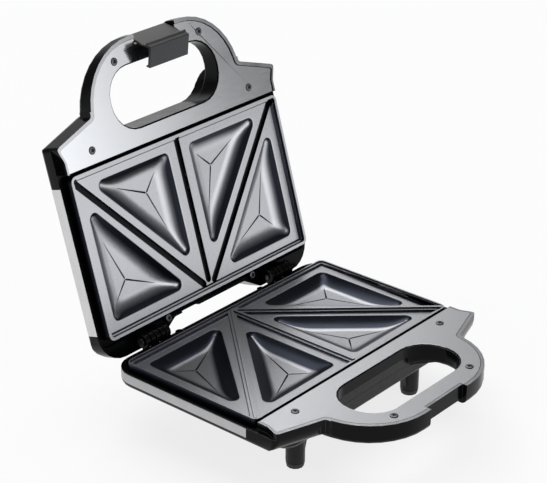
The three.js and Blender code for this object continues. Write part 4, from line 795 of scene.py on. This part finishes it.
pocket_bowls("base_plate_bowls", BASE_FRAME, BASE_LAND, "base", MATERIALS["base_bowl_coating"])
pocket_bowls("lid_plate_bowls", LID_FRAME, LID_LAND, "lid", MATERIALS["lid_bowl_coating"])


# Detailed screw heads -----------------------------------------------------------

# In metres.
SCREW_RADIUS = 0.003
SCREW_HEIGHT = 0.00055
APEX_DEPTH = 0.0001

SCREW_SIDES = 32

# Rings of a head as shares of its radius and height, and the height share of its crown.
HEAD_RINGS = ((1.0, 0.0), (1.0, 0.35), (0.93, 0.75), (0.8, 1.0))
CROWN_HEIGHT = 1.12

# The cross recess: its arms' length and width by the head's radius, their height and place by
# the head's height, how they narrow toward their foot, and how the cross is turned.
ARM_LENGTH = 1.5
ARM_WIDTH = 0.5
ARM_HEIGHT = 3
ARM_PLACE = 1.9
FOOT_LENGTH_SHARE = 0.55
FOOT_WIDTH_SHARE = 0.8
CROSS_TURN = 0.4

# Faces painted dark as shade: those in the cross recess, and those at the rim of the head.
RECESS_BELOW = 0.85
RECESS_REACH = 0.7
HEAD_RIM = 0.9


def screw_blank():
    """A pan head without its recess, standing on z = 0."""
    head = bmesh.new()
    rings = []
    for radius_share, height_share in HEAD_RINGS:
        radius, z = SCREW_RADIUS * radius_share, SCREW_HEIGHT * height_share
        angles = [2 * math.pi * k / SCREW_SIDES for k in range(SCREW_SIDES)]
        rings.append([head.verts.new((radius * math.cos(a), radius * math.sin(a), z)) for a in angles])
    crown = head.verts.new((0, 0, SCREW_HEIGHT * CROWN_HEIGHT))
    for k in range(SCREW_SIDES):
        after = (k + 1) % SCREW_SIDES
        for lower, upper in zip(rings, rings[1:]):
            head.faces.new((lower[k], lower[after], upper[after], upper[k]))
        head.faces.new((rings[-1][k], rings[-1][after], crown))
    head.faces.new(list(reversed(rings[0])))
    return mesh_object("screw_head_blank", mesh_of("screw_head_blank", head))


def recess_arm(turn):
    """One bar of the cross that is cut from a head."""
    arm = bmesh.new()
    bmesh.ops.create_cube(arm, size=1.0)
    size = (SCREW_RADIUS * ARM_LENGTH, SCREW_RADIUS * ARM_WIDTH, SCREW_HEIGHT * ARM_HEIGHT)
    bmesh.ops.scale(arm, vec=size, verts=arm.verts)
    for vertex in arm.verts:
        if vertex.co.z < 0:
            vertex.co.x *= FOOT_LENGTH_SHARE
            vertex.co.y *= FOOT_WIDTH_SHARE
    bmesh.ops.translate(arm, vec=(0, 0, SCREW_HEIGHT * ARM_PLACE), verts=arm.verts)
    bmesh.ops.rotate(arm, cent=(0, 0, 0), matrix=Matrix.Rotation(turn, 3, "Z"), verts=arm.verts)
    return mesh_object("screw_recess", mesh_of("screw_recess", arm))


def screw_head_mesh():
    """A pan head with a cross recess cut into it, standing on z = 0."""
    blank = screw_blank()
    arms = [recess_arm(CROSS_TURN), recess_arm(CROSS_TURN + math.pi / 2)]
    for arm in arms:
        cut = blank.modifiers.new("cut", "BOOLEAN")
        cut.operation = "DIFFERENCE"
        cut.solver = "EXACT"
        cut.object = arm
    depsgraph = bpy.context.evaluated_depsgraph_get()
    made = bpy.data.meshes.new_from_object(blank.evaluated_get(depsgraph))
    for piece in [blank] + arms:
        bpy.data.objects.remove(piece, do_unlink=True)
    made.materials.clear()
    made.materials.append(MATERIALS["screw_steel"])
    made.materials.append(MATERIALS["screw_recess"])
    for polygon in made.polygons:
        height = polygon.center.z / SCREW_HEIGHT
        reach = math.hypot(polygon.center.x, polygon.center.y) / SCREW_RADIUS
        recess = 0.0 < height < RECESS_BELOW and reach < RECESS_REACH
        # Painted shade: recess and rim faces take the near-black material.
        polygon.material_index = 1 if recess or reach > HEAD_RIM else 0
    return made


SCREW_HEAD = screw_head_mesh()


def dress_screw(node_name, normal, body):
    """Replaces a CAD screw by one with a cross recess, its head where the CAD head is."""
    places = [vertex.co for vertex in NODES[node_name].data.vertices]
    reach = max(place.dot(normal) for place in places)
    top = [place for place in places if place.dot(normal) > reach - APEX_DEPTH]
    seat = sum(top, Vector((0, 0, 0))) / len(top) - normal * SCREW_HEIGHT
    piece = mesh_object(node_name + "_head", SCREW_HEAD)
    turn = normal.to_track_quat("Z", "Y").to_matrix().to_4x4()
    piece.matrix_world = Matrix.Translation(seat) @ turn
    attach(piece, body)
    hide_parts(node_name)


LID_OUT = LID_FRAME.to_3x3().col[2].normalized()
for place in ("shoulder_right", "shoulder_left", "loop_right", "loop_left"):
    dress_screw("base_deck_screw_" + place, UP, "base")
    dress_screw("lid_deck_screw_" + place, LID_OUT, "lid")
for place in ("right", "left"):
    dress_screw("lid_rear_screw_" + place, LID_OUT, "lid")


# World and sun ------------------------------------------------------------------

# A dim dome with broad soft panels: direction, outer and inner half angle in degrees, strength.
DOME_STRENGTH = 0.16
DOME_COLOUR = (0.97, 0.985, 1.0, 1.0)
PANELS = (
    ((0.242, -0.970, 0.06), 32.0, 21.0, 1.5),
    ((0.52, 0.742, 0.423), 26.0, 8.0, 0.65),
    ((-0.95, 0.30, 0.10), 50.0, 22.0, 0.9),
)
SUN_FROM = (0.20, 0.42, 0.88)
SUN_SPREAD = math.radians(60.0)
SUN_STRENGTH = 2.3


def studio():
    world = bpy.data.worlds.new("studio")
    bpy.context.scene.world = world
    world.use_nodes = True
    tree = NodeTree(world.node_tree)
    strength = DOME_STRENGTH
    for direction, outer, inner, power in PANELS:
        near = tree.dot("Generated", Vector(direction).normalized())
        start, end = math.cos(math.radians(outer)), math.cos(math.radians(inner))
        panel = tree.spread(near, 0.0, power, start, end, steps="SMOOTHSTEP")
        strength = tree.maths("ADD", panel, strength)
    background = tree.node("Background", Color=DOME_COLOUR)
    tree.feed(background.inputs["Strength"], strength)
    output = tree.node("OutputWorld")
    tree.feed(output.inputs["Surface"], background.outputs["Background"])


def sun():
    data = bpy.data.lights.new("key", "SUN")
    data.energy = SUN_STRENGTH
    data.angle = SUN_SPREAD
    lamp = bpy.data.objects.new("key", data)
    bpy.context.scene.collection.objects.link(lamp)
    lamp.matrix_world = (-Vector(SUN_FROM)).to_track_quat("-Z", "Y").to_matrix().to_4x4()


studio()
sun()

bpy.context.scene.view_settings.view_transform = "Standard"
